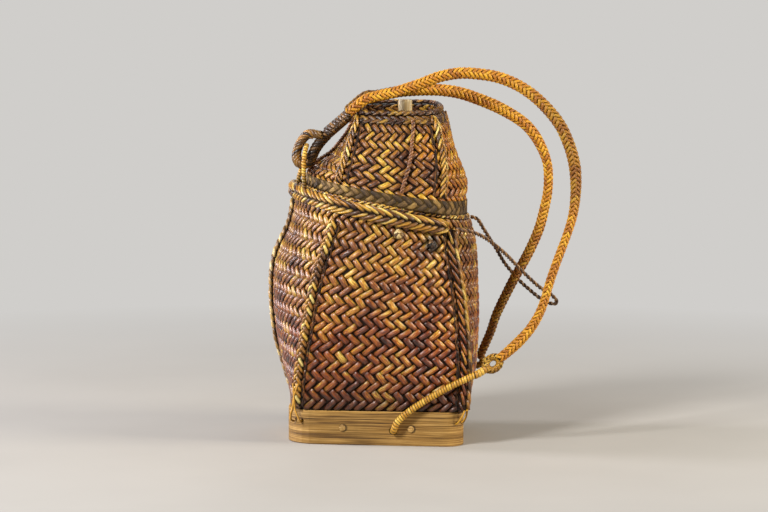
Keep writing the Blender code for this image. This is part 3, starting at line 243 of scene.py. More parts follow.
# Wound strands: length and width as shares of a turn's, height, steps along it
WRAP_STRAND = (1.02, 0.96, 0.0009, 16)
WHIPPING_STRAND = (1.01, 0.92, 0.0022, 28)
LEADER_PITCH = 0.0030
LEADER_END_PITCH = 0.0033
LINK_PITCH = 0.0031
NECK_STRANDS = 12
WHIPPING_TURNS = 8
END_EYE_STRETCH = (1.2, 0.95)

# Ribs: the right ones run on into the rim braid, the left ones end under it, and the back left one lies past its corner
RIGHT_CORNERS = (1, 2)
RIB_SHIFTS = (0, 0, 0, 0.045)
RIB_REACH_SHARES = (0.900, 0.945, 0.945, 0.930)
# Painted shadow beside the ribs: the width of its dark strands, and on the lid how far from the corner they lie
GROOVE_SHADOW_WIDTH = 0.0040
LID_GROOVE_SHADOW_WIDTH = 0.0030
LID_GROOVE_SHADOW_SHIFT = 0.080

# How far a flat braid's face and its core lie inside its width and its thickness
RIB_INSETS = ((0.001, 0.001), (0.0015, 0.0018))
LID_RIB_INSETS = ((0.001, 0.0009), (0.0015, 0.0014))
RIM_INSETS = ((0.0010, 0.0014), (0.0016, 0.0022))

# The edge braid and the top ring: outset and rise, or shares of the ring's wall and height, of their face and core
EDGE_FACE = ((-0.0004, 0.0), (-0.0002, 0.0022), (-0.0012, 0.0040), (-WALL + 0.0004, 0.0040))
EDGE_CORE_INSET = 0.0008
RING_FACE_SHARES = ((1.0, 0.0), (1.05, 0.45), (0.8, 0.95), (0.5, 1.05), (0.2, 0.95), (0.0, 0.5))
RING_CORE_SHARES = ((0.1, 0.05), (0.9, 0.05), (0.9, 0.55), (0.65, 0.85), (0.35, 0.85), (0.1, 0.55))

# Knots: distances along the axis at shares of the radius
ROSETTE_PROFILE = ((0.9, 0.0004), (1, 0.0018), (0.8, 0.0036), (0.4, 0.0046), (0.06, 0.0048))
STOPPER_SHARES = ((0.3, 0.05), (0.7, 0.08), (1.0, 0.45), (1.0, 1.3), (0.7, 1.7), (0.1, 1.75))

# Straps: widths as shares of the radius at shares of the length, and how far their braid runs past the route
STRAP_WIDTHS = {
    "front": ((0, 0.95), (0.12, 1.1), (0.4, 1.18), (0.58, 1.18), (0.66, 0.88), (0.7, 0.76), (0.86, 0.78), (0.95, 1.04),
              (1, 0.85)),
    "rear": ((0, 1.0), (0.08, 1.15), (0.35, 1.26), (0.46, 1.1), (0.52, 0.86), (0.57, 0.84), (0.66, 1.0), (0.75, 1.0),
             (0.88, 0.86), (1, 0.72)),
}
STRAP_REACH = 0.0036
LEADER_REACH = 0.003
STRAP_STEP = 0.004
CORD_STEP = 0.003
LINK_STEP = 0.002

# Camera and light
CAMERA_PLACE = (0.0083, -3.740, 0.567)
CAMERA_PITCH = 5.64
FOCAL_PIXELS = 3400
PHOTO_WIDTH = 768
SENSOR_WIDTH = 36.0
FLOOR_REACH = 40
HAZE = "#d0cecb"
HAZE_REACH = (0.30, 1.30)
WORLD_COLOUR = (0.88, 0.83, 0.78, 1)
WORLD_STRENGTH = 0.24
LAMPS = (
    # name, place, what it faces, width and height, power, colour
    ("window", (-1.3, -1.5, 1.5), (0, 0, 0.2), (0.5, 0.5), 62, (1.0, 0.98, 0.96)),
    ("side", (1.9, -0.5, 1.0), (0, 0, 0.2), (0.8, 0.8), 44, (1.0, 0.91, 0.76)),
    ("left", (-2.0, 0.35, 0.7), (-0.05, 0, 0.2), (0.4, 1.0), 44, (0.97, 0.94, 1.0)),
    ("back", (0.2, 1.8, 1.6), (0, 0, 0.25), (1.6, 1.0), 9, (1.0, 1.0, 1.0)),
)


# ---------------------------------------------------------------------------------------------- surfaces

def station(table, share):
    """Corners, bulges and rounding at a share of the height, along smooth curves through the table's rows."""
    row = 0
    while row < len(table) - 2 and share > table[row + 1][0]:
        row += 1
    before = table[max(row - 1, 0)]
    low = table[row]
    high = table[row + 1]
    after = table[min(row + 2, len(table) - 1)]
    span = high[0] - low[0]
    t = (share - low[0]) / span

    def smooth(a, b, c, d):
        slope_low = (c - a) / (high[0] - before[0]) * span
        slope_high = (d - b) / (after[0] - low[0]) * span
        return (
            b * (2 * t ** 3 - 3 * t ** 2 + 1) + slope_low * (t ** 3 - 2 * t ** 2 + t)
            + c * (3 * t ** 2 - 2 * t ** 3) + slope_high * (t ** 3 - t ** 2)
        )

    corners = [
        Vector([REACH * smooth(before[1][k][axis], low[1][k][axis], high[1][k][axis], after[1][k][axis])
                for axis in range(2)])
        for k in range(4)
    ]
    bulges = [smooth(before[2][k], low[2][k], high[2][k], after[2][k]) for k in range(4)]
    return corners, bulges, smooth(before[3], low[3], high[3], after[3])


def side_place(corners, bulges, side, share):
    start = corners[side % 4]
    end = corners[(side + 1) % 4]
    along = end - start
    outward = Vector((along.y, -along.x))
    return start + along * share + outward * (4 * bulges[side % 4] * share * (1 - share))


def outline_place(section, u):
    """A place on the outline: the whole part of u is the side, counted from the front left corner."""
    corners, bulges, rounding = section
    u = u % 4
    side = int(u)
    share = u - side
    if rounding <= share <= 1 - rounding:
        return side_place(corners, bulges, side, share)
    if share < rounding:
        corner = side
        turn = 0.5 + share / rounding / 2
    else:
        corner = side + 1
        turn = (share - 1 + rounding) / rounding / 2
    start = side_place(corners, bulges, corner - 1, 1 - rounding)
    end = side_place(corners, bulges, corner, rounding)
    middle = corners[corner % 4]
    return start * (1 - turn) ** 2 + middle * (2 * turn * (1 - turn)) + end * turn ** 2


def outline_normal(section, u):
    step = 1 / SIDE_STEPS / 2
    along = outline_place(section, u + step) - outline_place(section, u - step)
    return Vector((along.y, -along.x)).normalized()


def mouth_height(x):
    return MOUTH_HEIGHT - MOUTH_SLOPE * x


def body_level(flat, share):
    foot = HOOP_HEIGHT + GAP
    return foot + (mouth_height(flat.x) - foot) * share


def lid_level(flat, share):
    foot = mouth_height(flat.x) + EDGE_BRAID_HEIGHT + 2 * GAP
    return foot + (LID_TOP_HEIGHT + LID_TOP_SLOPE * flat.y - foot) * share


def rim_level(x):
    return mouth_height(x) - RIM_BRAID_DROP - RIM_BRAID_EXTRA_SLOPE * x


BODY = (BODY_SHARES, body_level)
LID = (LID_SHARES, lid_level)


def wall_place(table, level, u, share, outset=0.0, rise=0.0):
    """A place on a wall's outer face, or outset from it, at a share of its height."""
    section = station(table, min(share, 1))
    flat = outline_place(section, u)
    flat = flat + outline_normal(section, u) * outset
    return Vector((flat.x, flat.y, level(flat, share) + rise))


def body_place(u, share, outset=0.0, rise=0.0):
    return wall_place(*BODY, u, share, outset, rise)


def lid_place(u, share, outset=0.0, rise=0.0):
    return wall_place(*LID, u, share, outset, rise)


def frame_on(place, u, share):
    """Centre, sideways, upward and outward directions on a wall."""
    centre = place(u, share)
    sideways = (place(u + FRAME_SHARE, share) - place(u - FRAME_SHARE, share)).normalized()
    low = place(u, max(share - FRAME_SHARE, 0))
    high = place(u, min(share + FRAME_SHARE, 1))
    upward = (high - low).normalized()
    return centre, sideways, upward, sideways.cross(upward).normalized()


def share_at(place, u, level):
    """The share of a wall's height at which it reaches the height level(x)."""
    share = 0.9
    for _ in range(6):
        x, _, z = place(u, share)
        climb = (place(u, share + FRAME_SHARE / 2).z - z) / (FRAME_SHARE / 2)
        share = min(max(share + (level(x) - z) / climb, 0), 0.985)
    return share


def even_us(table, share, count, fine=280):
    """The u of places that lie evenly round the outline at a share of the height."""
    section = station(table, min(share, 1))
    us = [4 * k / fine for k in range(fine + 1)]
    places = [outline_place(section, u) for u in us]
    run = [0.0]
    for a, b in zip(places, places[1:]):
        run.append(run[-1] + (b - a).length)
    return [float(np.interp(run[-1] * k / count, run, us)) for k in range(count + 1)]


def wall_grid(table, level, shares, count, outset=0.0):
    """Rows of places on a wall, each row evenly spaced round it; the last place meets the first."""
    rows = []
    for share in shares:
        section = station(table, min(share, 1))
        row = []
        for u in even_us(table, share, count)[:-1]:
            flat = outline_place(section, u)
            if outset:
                flat = flat + outline_normal(section, u) * outset
            row.append((flat.x, flat.y, level(flat, share)))
        rows.append(row + row[:1])
    return np.array(rows)


def wall_frames(place, u, low, high, steps=60):
    """Frames of centre, across and outward up a wall, from one share of its height to another."""
    frames = []
    for share in even(steps, low, high - low):
        centre, sideways, _, outward = frame_on(place, u, share)
        frames.append((centre, -sideways, outward))
    return frames


def even(steps, low=0, reach=1):
    """Evenly spaced values from low on."""
    return [low + reach * k / steps for k in range(steps + 1)]


def run_length(grid, axis=1):
    """The mean length of a grid's rows, or of its columns for axis 0."""
    return float(np.linalg.norm(np.diff(grid, axis=axis), axis=2).sum(axis).mean())


def strip_grid(frames, width, thickness, across=10, lift=FIT):
    """Places on the domed face of a flat braid that follows frames of centre, across and outward."""
    grid = []
    for k in range(across + 1):
        angle = math.pi * k / across
        side = -math.cos(angle)
        rise = math.sin(angle) ** 0.75
        grid.append([tuple(c + s * (side * width / 2) + o * (lift + thickness * rise)) for c, s, o in frames])
    return np.array(grid)


def smooth_route(points, spacing):
    """Places a spacing apart on a smooth curve through a route's own points."""
    route = [Vector(point) for point in points]
    fine = []
    for index in range(len(route) - 1):
        a = route[max(index - 1, 0)]
        b = route[index]
        c = route[index + 1]
        d = route[min(index + 2, len(route) - 1)]
        for step in range(6):
            t = step / 6
            fine.append(
                (b * 2 + (c - a) * t + (a * 2 - b * 5 + c * 4 - d) * t ** 2 + (b * 3 - a - c * 3 + d) * t ** 3) / 2
            )
    fine.append(route[-1])
    run = [0.0]
    for low, high in zip(fine, fine[1:]):
        run.append(run[-1] + (high - low).length)
    count = max(2, round(run[-1] / spacing))
    line = np.array(fine)
    wanted = np.linspace(0, run[-1], count + 1)
    return [Vector([float(np.interp(w, run, line[:, axis])) for axis in range(3)]) for w in wanted]


def route_frames(places, mark):
    """Along, mark and cross directions at each place, carried without twist from the direction mark."""
    frames = []
    side = None
    for index, place in enumerate(places):
        along = (places[min(index + 1, len(places) - 1)] - places[max(index - 1, 0)]).normalized()
        if side is None:
            side = Vector(mark)
        side = (side - along * side.dot(along)).normalized()
        frames.append((place, along, side, along.cross(side)))
    return frames


def tube_grid(places, radius, mark=(0, 0, 1), around=20, turn=0.0, widths=((0, 1), (1, 1))):
    """Places round a tube: rows go round it, columns along it.

    widths are shares of the radius across the mark at shares of the length; where it narrows it also thickens.
    """
    frames = route_frames(places, mark)
    shares, factors = zip(*widths)
    across = np.interp(np.linspace(0, 1, len(places)), shares, factors)
    grid = []
    for k in range(around + 1):
        angle = turn - math.tau * (k % around) / around
        grid.append([
            tuple(c + side * (radius / wide ** 0.4 * math.cos(angle)) + cross * (radius * wide * math.sin(angle)))
            for (c, _, side, cross), wide in zip(frames, across)
        ])
    return np.array(grid)


def route_length(places):
    return sum((b - a).length for a, b in zip(places, places[1:]))


# ---------------------------------------------------------------------------------------------- finishes

def paint(code):
    """A colour as Blender holds it, from its usual six-digit code."""
    values = [int(code[k:k + 2], 16) / 255 for k in (1, 3, 5)]
    return (*[v / 12.92 if v <= 0.04045 else ((v + 0.055) / 1.055) ** 2.4 for v in values], 1)


def middle_of(node_name):
    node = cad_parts[node_name]
    return tuple(sum((node.matrix_world @ Vector(spot) for spot in node.bound_box), Vector()) / 8)


class Wiring:
    """Short calls that add nodes to a tree and wire them."""

    def __init__(self, tree):
        self.tree = tree

    def node(self, kind, inputs=(), **settings):
        made = self.tree.nodes.new(kind)
        for key, value in settings.items():
            setattr(made, key, value)
        for key, value in dict(inputs).items():
            if isinstance(value, bpy.types.NodeSocket):
                self.tree.links.new(value, made.inputs[key])
            else:
                made.inputs[key].default_value = value
        return made

    def maths(self, operation, a, b=None, clamp=False):
        inputs = {0: a} if b is None else {0: a, 1: b}
        return self.node("ShaderNodeMath", inputs, operation=operation, use_clamp=clamp).outputs[0]

    def plus(self, a, b, clamp=False):
        return self.maths("ADD", a, b, clamp)

    def less(self, a, b):
        return self.maths("SUBTRACT", a, b)

    def times(self, a, b):
        return self.maths("MULTIPLY", a, b)

    def parts(self, vector):
        return self.node("ShaderNodeSeparateXYZ", {0: vector}).outputs

    def vector(self, x=0.0, y=0.0, z=0.0):
        return self.node("ShaderNodeCombineXYZ", {0: x, 1: y, 2: z}).outputs[0]

    def between(self, operation, a, b=None, output=0):
        inputs = {0: a} if b is None else {0: a, 1: b}
        return self.node("ShaderNodeVectorMath", inputs, operation=operation).outputs[output]

    def stretched(self, vector, factor):
        return self.node("ShaderNodeVectorMath", {0: vector, "Scale": factor}, operation="SCALE").outputs[0]


class Finish(Wiring):
    """A material under construction."""

    def __init__(self, name, roughness, specular=0.5, coat=0.0, coat_roughness=0.3):
        self.material = bpy.data.materials.new(name)
        self.material.use_nodes = True
        super().__init__(self.material.node_tree)
        self.shader = self.tree.nodes["Principled BSDF"]
        for label, value in (("Roughness", roughness), ("Specular IOR Level", specular), ("Coat Weight", coat),
                             ("Coat Roughness", coat_roughness)):
            self.shader.inputs[label].default_value = value

    def attribute(self, name, output):
        return self.node("ShaderNodeAttribute", attribute_name=name).outputs[output]

    def place(self):
        return self.node("ShaderNodeTexCoord").outputs["Object"]

    def scaled(self, vector, scale, offset=None):
        made = self.between("MULTIPLY", vector, scale)
        return made if offset is None else self.between("ADD", made, offset)

    def noise(self, vector, scale, detail=2.0, roughness=0.5, distortion=0.0):
        return self.node("ShaderNodeTexNoise", {
            "Vector": vector, "Scale": scale, "Detail": detail, "Roughness": roughness, "Distortion": distortion,
        }).outputs["Fac"]

    def ranged(self, value, low, high, to_low, to_high):
        return self.node("ShaderNodeMapRange", {
            "Value": value, "From Min": low, "From Max": high, "To Min": to_low, "To Max": to_high,
        }).outputs["Result"]

    def ramp(self, value, stops):
        made = self.node("ShaderNodeValToRGB", {"Fac": value})
        elements = made.color_ramp.elements
        while len(elements) < len(stops):
            elements.new(1.0)
        for element, (position, code) in zip(elements, stops):
            element.position = position
            element.color = paint(code)
        return made.outputs["Color"]

    def mixed(self, factor, a, b, blend="MIX"):
        return self.node("ShaderNodeMix", {0: factor, 6: a, 7: b}, data_type="RGBA", blend_type=blend).outputs[2]

    def swing(self, value, reach):
        """A noise's usual range, made to run from -reach to reach."""
        return self.ranged(value, 0.3, 0.7, -reach, reach)

    def reach(self, place, centre, stretch=None):
        """The distance from a place."""
        away = self.between("SUBTRACT", place, centre)
        if stretch:
            away = self.scaled(away, stretch)
        return self.between("LENGTH", away, output="Value")

    def shaded(self, colour, factor):
        """The colour times a factor."""
        grey = self.node("ShaderNodeCombineColor", {0: factor, 1: factor, 2: factor}).outputs[0]
        return self.mixed(1.0, colour, grey, "MULTIPLY")

    def finish(self, colour, height=None, bump=0.0003, strength=1.0, roughness=None):
        self.tree.links.new(colour, self.shader.inputs["Base Color"])
        if roughness is not None:
            self.tree.links.new(roughness, self.shader.inputs["Roughness"])
        if height is not None:
            made = self.node("ShaderNodeBump", {"Height": height, "Distance": bump, "Strength": strength})
            self.tree.links.new(made.outputs["Normal"], self.shader.inputs["Normal"])
        return self.material


def rattan(name, stops, above=None, patches=0.3, streaky=0.16, ends=0.5, flank_shade=0.6, painted_flank_light=0.0, grain=0.3, splits=0.0,
           spread=1.0, roughness=(0.30, 0.52), coat=0.2, shades=(), marks=()):
    """Split rattan: each strand has its own tone, grain and fine splits along it, and painted shade darkens its flanks
    and tucked ends.

    above is other stops, an axis and the heights between which they take over. A painted highlight and shade make the
    upper flank lighter than the lower one. shades are a source, an axis, its range and the factors there. marks are
    places, radii and factors of dark spots.
    """
    made = Finish(name, 0.45, 0.5, coat, 0.24)
    place = made.place()
    tone = made.attribute("tone", "Fac")
    lay = made.attribute("lay", "Vector")
    spot = made.parts(made.attribute("spot", "Vector"))
    where = made.parts(place)
    along, aside = made.parts(lay)[:2]
    shift = made.scaled(made.vector(tone, tone, tone), (57.0, 31.0, 83.0))
    streaks = made.noise(made.scaled(lay, (1.3, 4.5, 0.4), shift), 1.0, 3.0, 0.6)
    fibres = made.noise(made.scaled(lay, (1.1, 15.0, 1.0), shift), 1.0, 2.0, 0.6)
    patch = made.noise(place, 34.0, 3.0, 0.6)

    moved = made.plus(made.times(made.less(tone, 0.5), spread), 0.5)
    moved = made.plus(moved, made.swing(patch, patches / 2))
    moved = made.plus(moved, made.swing(streaks, streaky))
    # Painted highlight and shade: one flank of each strand moves up the tones, the other down.
    moved = made.plus(moved, made.ranged(aside, -1.0, 1.0, -painted_flank_light, painted_flank_light), clamp=True)
    colour = made.ramp(moved, stops)
    if above:
        other, axis, low, high = above
        rise = made.plus(where[axis], made.swing(patch, 0.03))
        colour = made.mixed(made.ranged(rise, low, high, 0.0, 1.0), colour, made.ramp(moved, other))

    # Painted shade: the tucked ends and the flanks of each strand are darkened, for the shade between strands.
    tucked = made.ranged(made.maths("ABSOLUTE", along), 0.55, 0.98, 1.0, 1.0 - ends)
    flank = made.ranged(made.maths("ABSOLUTE", aside), 0.5, 1.0, 1.0, 1.0 - flank_shade)
    factor = made.times(tucked, flank)
    factor = made.times(factor, made.ranged(fibres, 0.3, 0.7, 1.0 - grain, 1.0 + grain * 0.6))
    height = made.plus(fibres, made.times(streaks, 0.6))
    if splits:
        wander = made.plus(aside, made.ranged(streaks, 0.2, 0.8, -0.25, 0.25))
        share = made.maths("FRACT", made.plus(made.times(wander, splits / 2), 7.5))
        groove = made.maths("ABSOLUTE", made.less(share, 0.5))
        factor = made.times(factor, made.ranged(groove, 0.30, 0.5, 1.0, 0.45))
        height = made.plus(height, made.ranged(groove, 0.2, 0.5, 1.2, 0.0))
    for source, axis, low, high, at_low, at_high in shades:
        value = (spot if source == "spot" else where)[axis]
        factor = made.times(factor, made.ranged(value, low, high, at_low, at_high))
    for centre, radius, at_centre in marks:
        shade = made.ranged(made.reach(place, centre), radius * 0.7, radius * 1.3, at_centre, 1.0)
        factor = made.times(factor, shade)
    worn = made.ranged(fibres, 0.3, 0.7, roughness[1], roughness[0])
    return made.finish(made.shaded(colour, factor), height, 0.00025, 0.6, worn)


def gap_shade_sheet(name, code, light):
    """What shows between strands: a dark, mottled sheet of painted shade, for the shade in the gaps."""
    made = Finish(name, 0.85, 0.2)
    place = made.place()
    colour = made.ramp(made.noise(place, 220.0, 3.0, 0.6), ((0.3, code), (0.8, light)))
    return made.finish(colour, made.noise(place, 900.0, 2.0), 0.0002, 0.5)


def wood(name, stops, scale, roughness=0.6, coat=0.0, rings=14.0, bump=0.0003, edge=None, peg_gap_shades=()):
    """Split wood: long grain by the stretch that scale gives, with darker lines in it.

    edge is low, high, factor for a lighter upper edge, a painted highlight where the top edge catches the light; dark
    rings of painted shade, for the shade in the gaps round pegs, lie at given places and radii on the front and back.
    """
    made = Finish(name, roughness, 0.35, coat, 0.4)
    place = made.place()
    long = made.scaled(place, scale)
    broad = made.noise(long, 1.0, 4.0, 0.6, 0.6)
    lines = made.noise(made.scaled(long, (1.0, 1.0, rings)), 1.0, 3.0, 0.65, 0.2)
    dirt = made.noise(place, 26.0, 3.0, 0.6)
    mix = made.plus(made.times(broad, 0.3), made.times(lines, 0.7))
    colour = made.ramp(made.ranged(mix, 0.38, 0.62, 0.0, 1.0), stops)
    colour = made.shaded(colour, made.ranged(dirt, 0.3, 0.7, 0.8, 1.1))
    # Painted highlight: the upper edge is made lighter.
    if edge:
        low, high, factor = edge
        colour = made.shaded(colour, made.ranged(made.parts(place)[2], low, high, 1.0, factor))
    # Painted shade: a dark ring round each peg, for the shade in the gap between the peg and its hole.
    for centre, radius in peg_gap_shades:
        reach = made.reach(place, centre, (1.0, 0.0, 1.0))
        colour = made.shaded(colour, made.ranged(reach, radius, radius + 0.0016, 0.3, 1.0))
    return made.finish(colour, lines, bump, 0.7, made.ranged(lines, 0.3, 0.7, roughness + 0.1, roughness - 0.1))


BODY_TONES = (
    (0.00, "#3c1606"), (0.20, "#6e2c0b"), (0.45, "#9e480f"), (0.68, "#c26a13"), (0.84, "#da8c1c"),
    (0.94, "#eaac30"), (1.00, "#f8d05e"),
)
HIGH_TONES = (
    (0.00, "#4a2614"), (0.20, "#7b4420"), (0.45, "#a36528"), (0.66, "#c08228"), (0.82, "#d49c2e"),
    (0.94, "#e6b63c"), (1.00, "#f6d66e"),
)
LID_TONES = (
    (0.00, "#482615"), (0.20, "#7c4723"), (0.45, "#a86c2b"), (0.66, "#c68c2c"), (0.82, "#daa430"),
    (0.94, "#eabd3c"), (1.00, "#f8da64"),
)
# Painted light: lighter, more golden tones for the lid's right side, where warm light falls from the right
LIT_RIGHT_SIDE_TONES = (
    (0.00, "#74380c"), (0.25, "#b0620f"), (0.50, "#d48414"), (0.75, "#e8a51e"), (1.00, "#fccb3e"),
)
GOLD_TONES = (
    (0.00, "#4c2c14"), (0.22, "#7e501e"), (0.42, "#ab7120"), (0.62, "#cb9126"), (0.82, "#e2b03a"), (1.00, "#f8dc80"),
)
STRAP_TONES = ((0.00, "#8a4a08"), (0.35, "#c0780e"), (0.65, "#de9c18"), (1.00, "#f4c234"))
WRAP_TONES = ((0.00, "#b8801f"), (0.5, "#d9a22f"), (1.00, "#f0c552"))
EYE_TONES = ((0.00, "#22140c"), (0.35, "#452a14"), (0.65, "#7c531c"), (1.00, "#cc922c"))
DARK_TONES = ((0.00, "#1e1109"), (0.5, "#523416"), (1.00, "#ac782c"))
TWIST_TONES = ((0.00, "#5c3626"), (0.5, "#a06c44"), (1.00, "#dcae5c"))
TETHER_TONES = ((0.00, "#4a3022"), (0.5, "#8a6038"), (1.00, "#b98d4e"))
BAND_TONES = ((0.00, "#3c2a14"), (0.35, "#6c5026"), (0.65, "#937036"), (1.00, "#b8944c"))
RING_TONES = ((0.00, "#3a2016"), (0.35, "#6f4526"), (0.7, "#a87530"), (1.00, "#dcaa40"))
SHADOW_TONES = ((0.00, "#1a0f08"), (0.5, "#3a2310"), (1.00, "#7a4c1e"))
PALE_RIB_TONES = ((0.00, "#6a4620"), (0.4, "#b38843"), (0.7, "#dcb566"), (1.00, "#f6e0a8"))
DARK_KNOT_TONES = ((0.0, "#100805"), (0.6, "#24140b"), (0.85, "#5a3c20"), (1.0, "#a88048"))
PALE_KNOT_TONES = ((0.0, "#54391c"), (0.4, "#96733e"), (0.75, "#cfae6c"), (1.0, "#ecd8a0"))
FOOT_SHADE = ("place", 2, 0.037, 0.06, 0.6, 1.0)

weave_look = dict(patches=0.6, streaky=0.36, ends=0.4, painted_flank_light=0.2, grain=0.7, splits=3.0)
body_rattan = rattan(
    "body rattan", BODY_TONES, (HIGH_TONES, 2, 0.10, 0.22), flank_shade=0.55, spread=0.46, roughness=(0.26, 0.48),
    coat=0.42, shades=(
        ("place", 2, 0.037, 0.064, 0.42, 1.0), ("place", 2, 0.06, 0.13, 0.72, 1.0),
        ("place", 0, -0.085, -0.060, 0.74, 1.0),
    ),
    marks=((middle_of("rosette_knot_dark"), 0.0105, 0.12), (middle_of("rosette_knot_light"), 0.0075, 0.6)),
    **weave_look,
)
# The lid's right side takes lighter tones as painted light; its top shoulder is darker as painted shade.
lid_rattan = rattan(
    "lid rattan", LID_TONES, (LIT_RIGHT_SIDE_TONES, 0, 0.050, 0.075), flank_shade=0.5, spread=0.55, roughness=(0.28, 0.5),
    coat=0.2, shades=(("spot", 1, 0.84, 0.95, 1.0, 0.42),), **weave_look,
)
gold_rattan = rattan(
    "golden braid", GOLD_TONES, streaky=0.24, grain=0.45, splits=2.0, ends=0.7, flank_shade=0.75, painted_flank_light=0.1, coat=0.3,
)
rib_look = dict(grain=0.35, splits=2.0, ends=0.6, flank_shade=0.7, coat=0.3, shades=(FOOT_SHADE,))
rib_rattan = rattan("rib braid", GOLD_TONES, patches=0.5, **rib_look)
pale_rib_rattan = rattan("pale rib braid", PALE_RIB_TONES, patches=0.4, **rib_look)
eye_braid_rattan = rattan("end eye braid", WRAP_TONES, patches=0.25, ends=0.3, flank_shade=0.35, coat=0.25)
strap_look = dict(patches=0.25, ends=0.5, flank_shade=0.55, spread=0.6, roughness=(0.42, 0.62), coat=0.05)
strap_rattan = rattan("strap braid", STRAP_TONES, shades=(
    ("spot", 0, 0.34, 0.46, 1.0, 0.58), ("spot", 0, 0.63, 0.68, 1.0, 1.7), ("place", 0, -0.055, -0.015, 0.55, 1.0),
), **strap_look)
rear_strap_rattan = rattan("rear strap braid", STRAP_TONES, shades=(
    ("place", 0, 0.012, 0.05, 0.3, 1.0), ("spot", 0, 0.60, 0.85, 1.0, 0.45),
), **strap_look)
wrap_rattan = rattan("wrapped cord", WRAP_TONES, patches=0.2, ends=0.0, flank_shade=0.75)
link_rattan = rattan(
    "wrapped link", WRAP_TONES, patches=0.2, ends=0.0, flank_shade=0.75, shades=(("place", 2, 0.284, 0.296, 0.3, 1.0),),
)
eye_rattan = rattan("eye strands", EYE_TONES, patches=0.6, ends=0.0, flank_shade=0.7, coat=0.3, shades=(
    ("place", 0, -0.078, -0.064, 1.0, 0.4), ("place", 2, 0.300, 0.312, 0.6, 1.0),
))
dark_rattan = rattan("dark wrapping", DARK_TONES, ends=0.1, flank_shade=0.7, coat=0.3)
twist_rattan = rattan("twisted cord", TWIST_TONES, streaky=0.2, ends=0.0, flank_shade=0.6, painted_flank_light=0.15)
tether_rattan = rattan(
    "tether", TETHER_TONES, ends=0.0, flank_shade=0.4, shades=(("place", 1, 0.02, 0.06, 1.0, 0.5),),
)
band_rattan = rattan(
    "olive band", BAND_TONES, patches=0.5, streaky=0.3, ends=0.4, flank_shade=0.5, painted_flank_light=0.12, spread=0.9, coat=0.0,
    grain=0.5, splits=3.0, roughness=(0.6, 0.8),
)
dark_knot_rattan = rattan("dark knot", DARK_KNOT_TONES, spread=1.1, coat=0.2)
pale_rattan = rattan("pale knot", PALE_KNOT_TONES, spread=1.3)
ring_rattan = rattan(
    "top ring braid", RING_TONES, splits=2.0, ends=0.6, flank_shade=0.7, coat=0.15,
    shades=(("place", 1, -0.02, 0.01, 0.65, 1.1),),
)
# Painted shadow: the dark strands in the grooves beside the ribs
shadow_rattan = rattan("dark side strands", SHADOW_TONES, ends=0.6, flank_shade=0.7, roughness=(0.85, 0.95), coat=0.0)
inner_rattan = rattan("inner plait", HIGH_TONES, splits=2.0, coat=0.05, roughness=(0.5, 0.7))
# Painted shade in the gaps between strands: near black under the weave, braids and cords, tinted olive under the band
# and brown under the inner plaits of the floor and collar.
olive_gap_shade = gap_shade_sheet("olive pith", "#33270f", "#5a4622")
painted_gap_shade = gap_shade_sheet("dark pith", "#120b07", "#2a1a10")
inside = gap_shade_sheet("inner lining", "#3a2616", "#6b4a2a")
# The hoop's lighter top edge is a painted highlight; the dark rings round the front pegs are painted shade.
hoop_wood = wood(
    "hoop wood", ((0.0, "#3c2710"), (0.3, "#765424"), (0.6, "#9c7638"), (1.0, "#c49c5a")), (9.0, 9.0, 120.0), 0.66,
    rings=9.0, bump=0.0005, edge=(0.0345, 0.0365, 1.3), peg_gap_shades=[
        (middle_of("hoop_peg_front_left"), 0.0036), (middle_of("hoop_peg_front_right"), 0.0036),
    ],
)
peg_wood = wood("peg wood", ((0.0, "#82602f"), (0.5, "#b08a4c"), (1.0, "#d4b074")), (160.0, 40.0, 160.0), 0.55)
knob_bamboo = wood(
    "bamboo", ((0.0, "#dcb876"), (0.5, "#f0d6a0"), (1.0, "#fdf0cc")), (160.0, 160.0, 14.0), 0.42, 0.2, rings=1.0,
)


# ---------------------------------------------------------------------------------------------- node trees

class Growth(Wiring):
    """A Geometry Nodes tree under construction."""

    def __init__(self, name, **inlets):
        """inlets are the names of the inputs of each kind."""
        super().__init__(bpy.data.node_groups.new(name, "GeometryNodeTree"))
        self.tree.is_modifier = True
        for kind, labels in (("Geometry", ["Geometry"]), *inlets.items()):
            for label in labels:
                self.tree.interface.new_socket(label, in_out="INPUT", socket_type="NodeSocket" + kind)
        self.tree.interface.new_socket("Geometry", in_out="OUTPUT", socket_type="NodeSocketGeometry")
        self.given = self.tree.nodes.new("NodeGroupInput").outputs
        self.result = self.tree.nodes.new("NodeGroupOutput").inputs

    def chance(self, low, high, seed, index):
        made = self.node("FunctionNodeRandomValue", {2: low, 3: high, 7: index, 8: seed}, data_type="FLOAT")
        return made.outputs[1]

    def keep(self, geometry, name, kind, value):
        return self.node("GeometryNodeStoreNamedAttribute", {
            "Geometry": geometry, "Name": name, "Value": value,
        }, data_type=kind, domain="POINT").outputs[0]

    def kept(self, name, kind="FLOAT"):
        return self.node("GeometryNodeInputNamedAttribute", {"Name": name}, data_type=kind).outputs[0]

    def done(self, geometry):
        """The last steps: a smooth and real mesh with the given material."""
        for step in ("SetShadeSmooth", "RealizeInstances"):
            geometry = self.node("GeometryNode" + step, {"Geometry": geometry}).outputs[0]
        inputs = {"Geometry": geometry, "Material": self.given["Material"]}
        self.tree.links.new(self.node("GeometryNodeSetMaterial", inputs).outputs[0], self.result[0])
        return self.tree


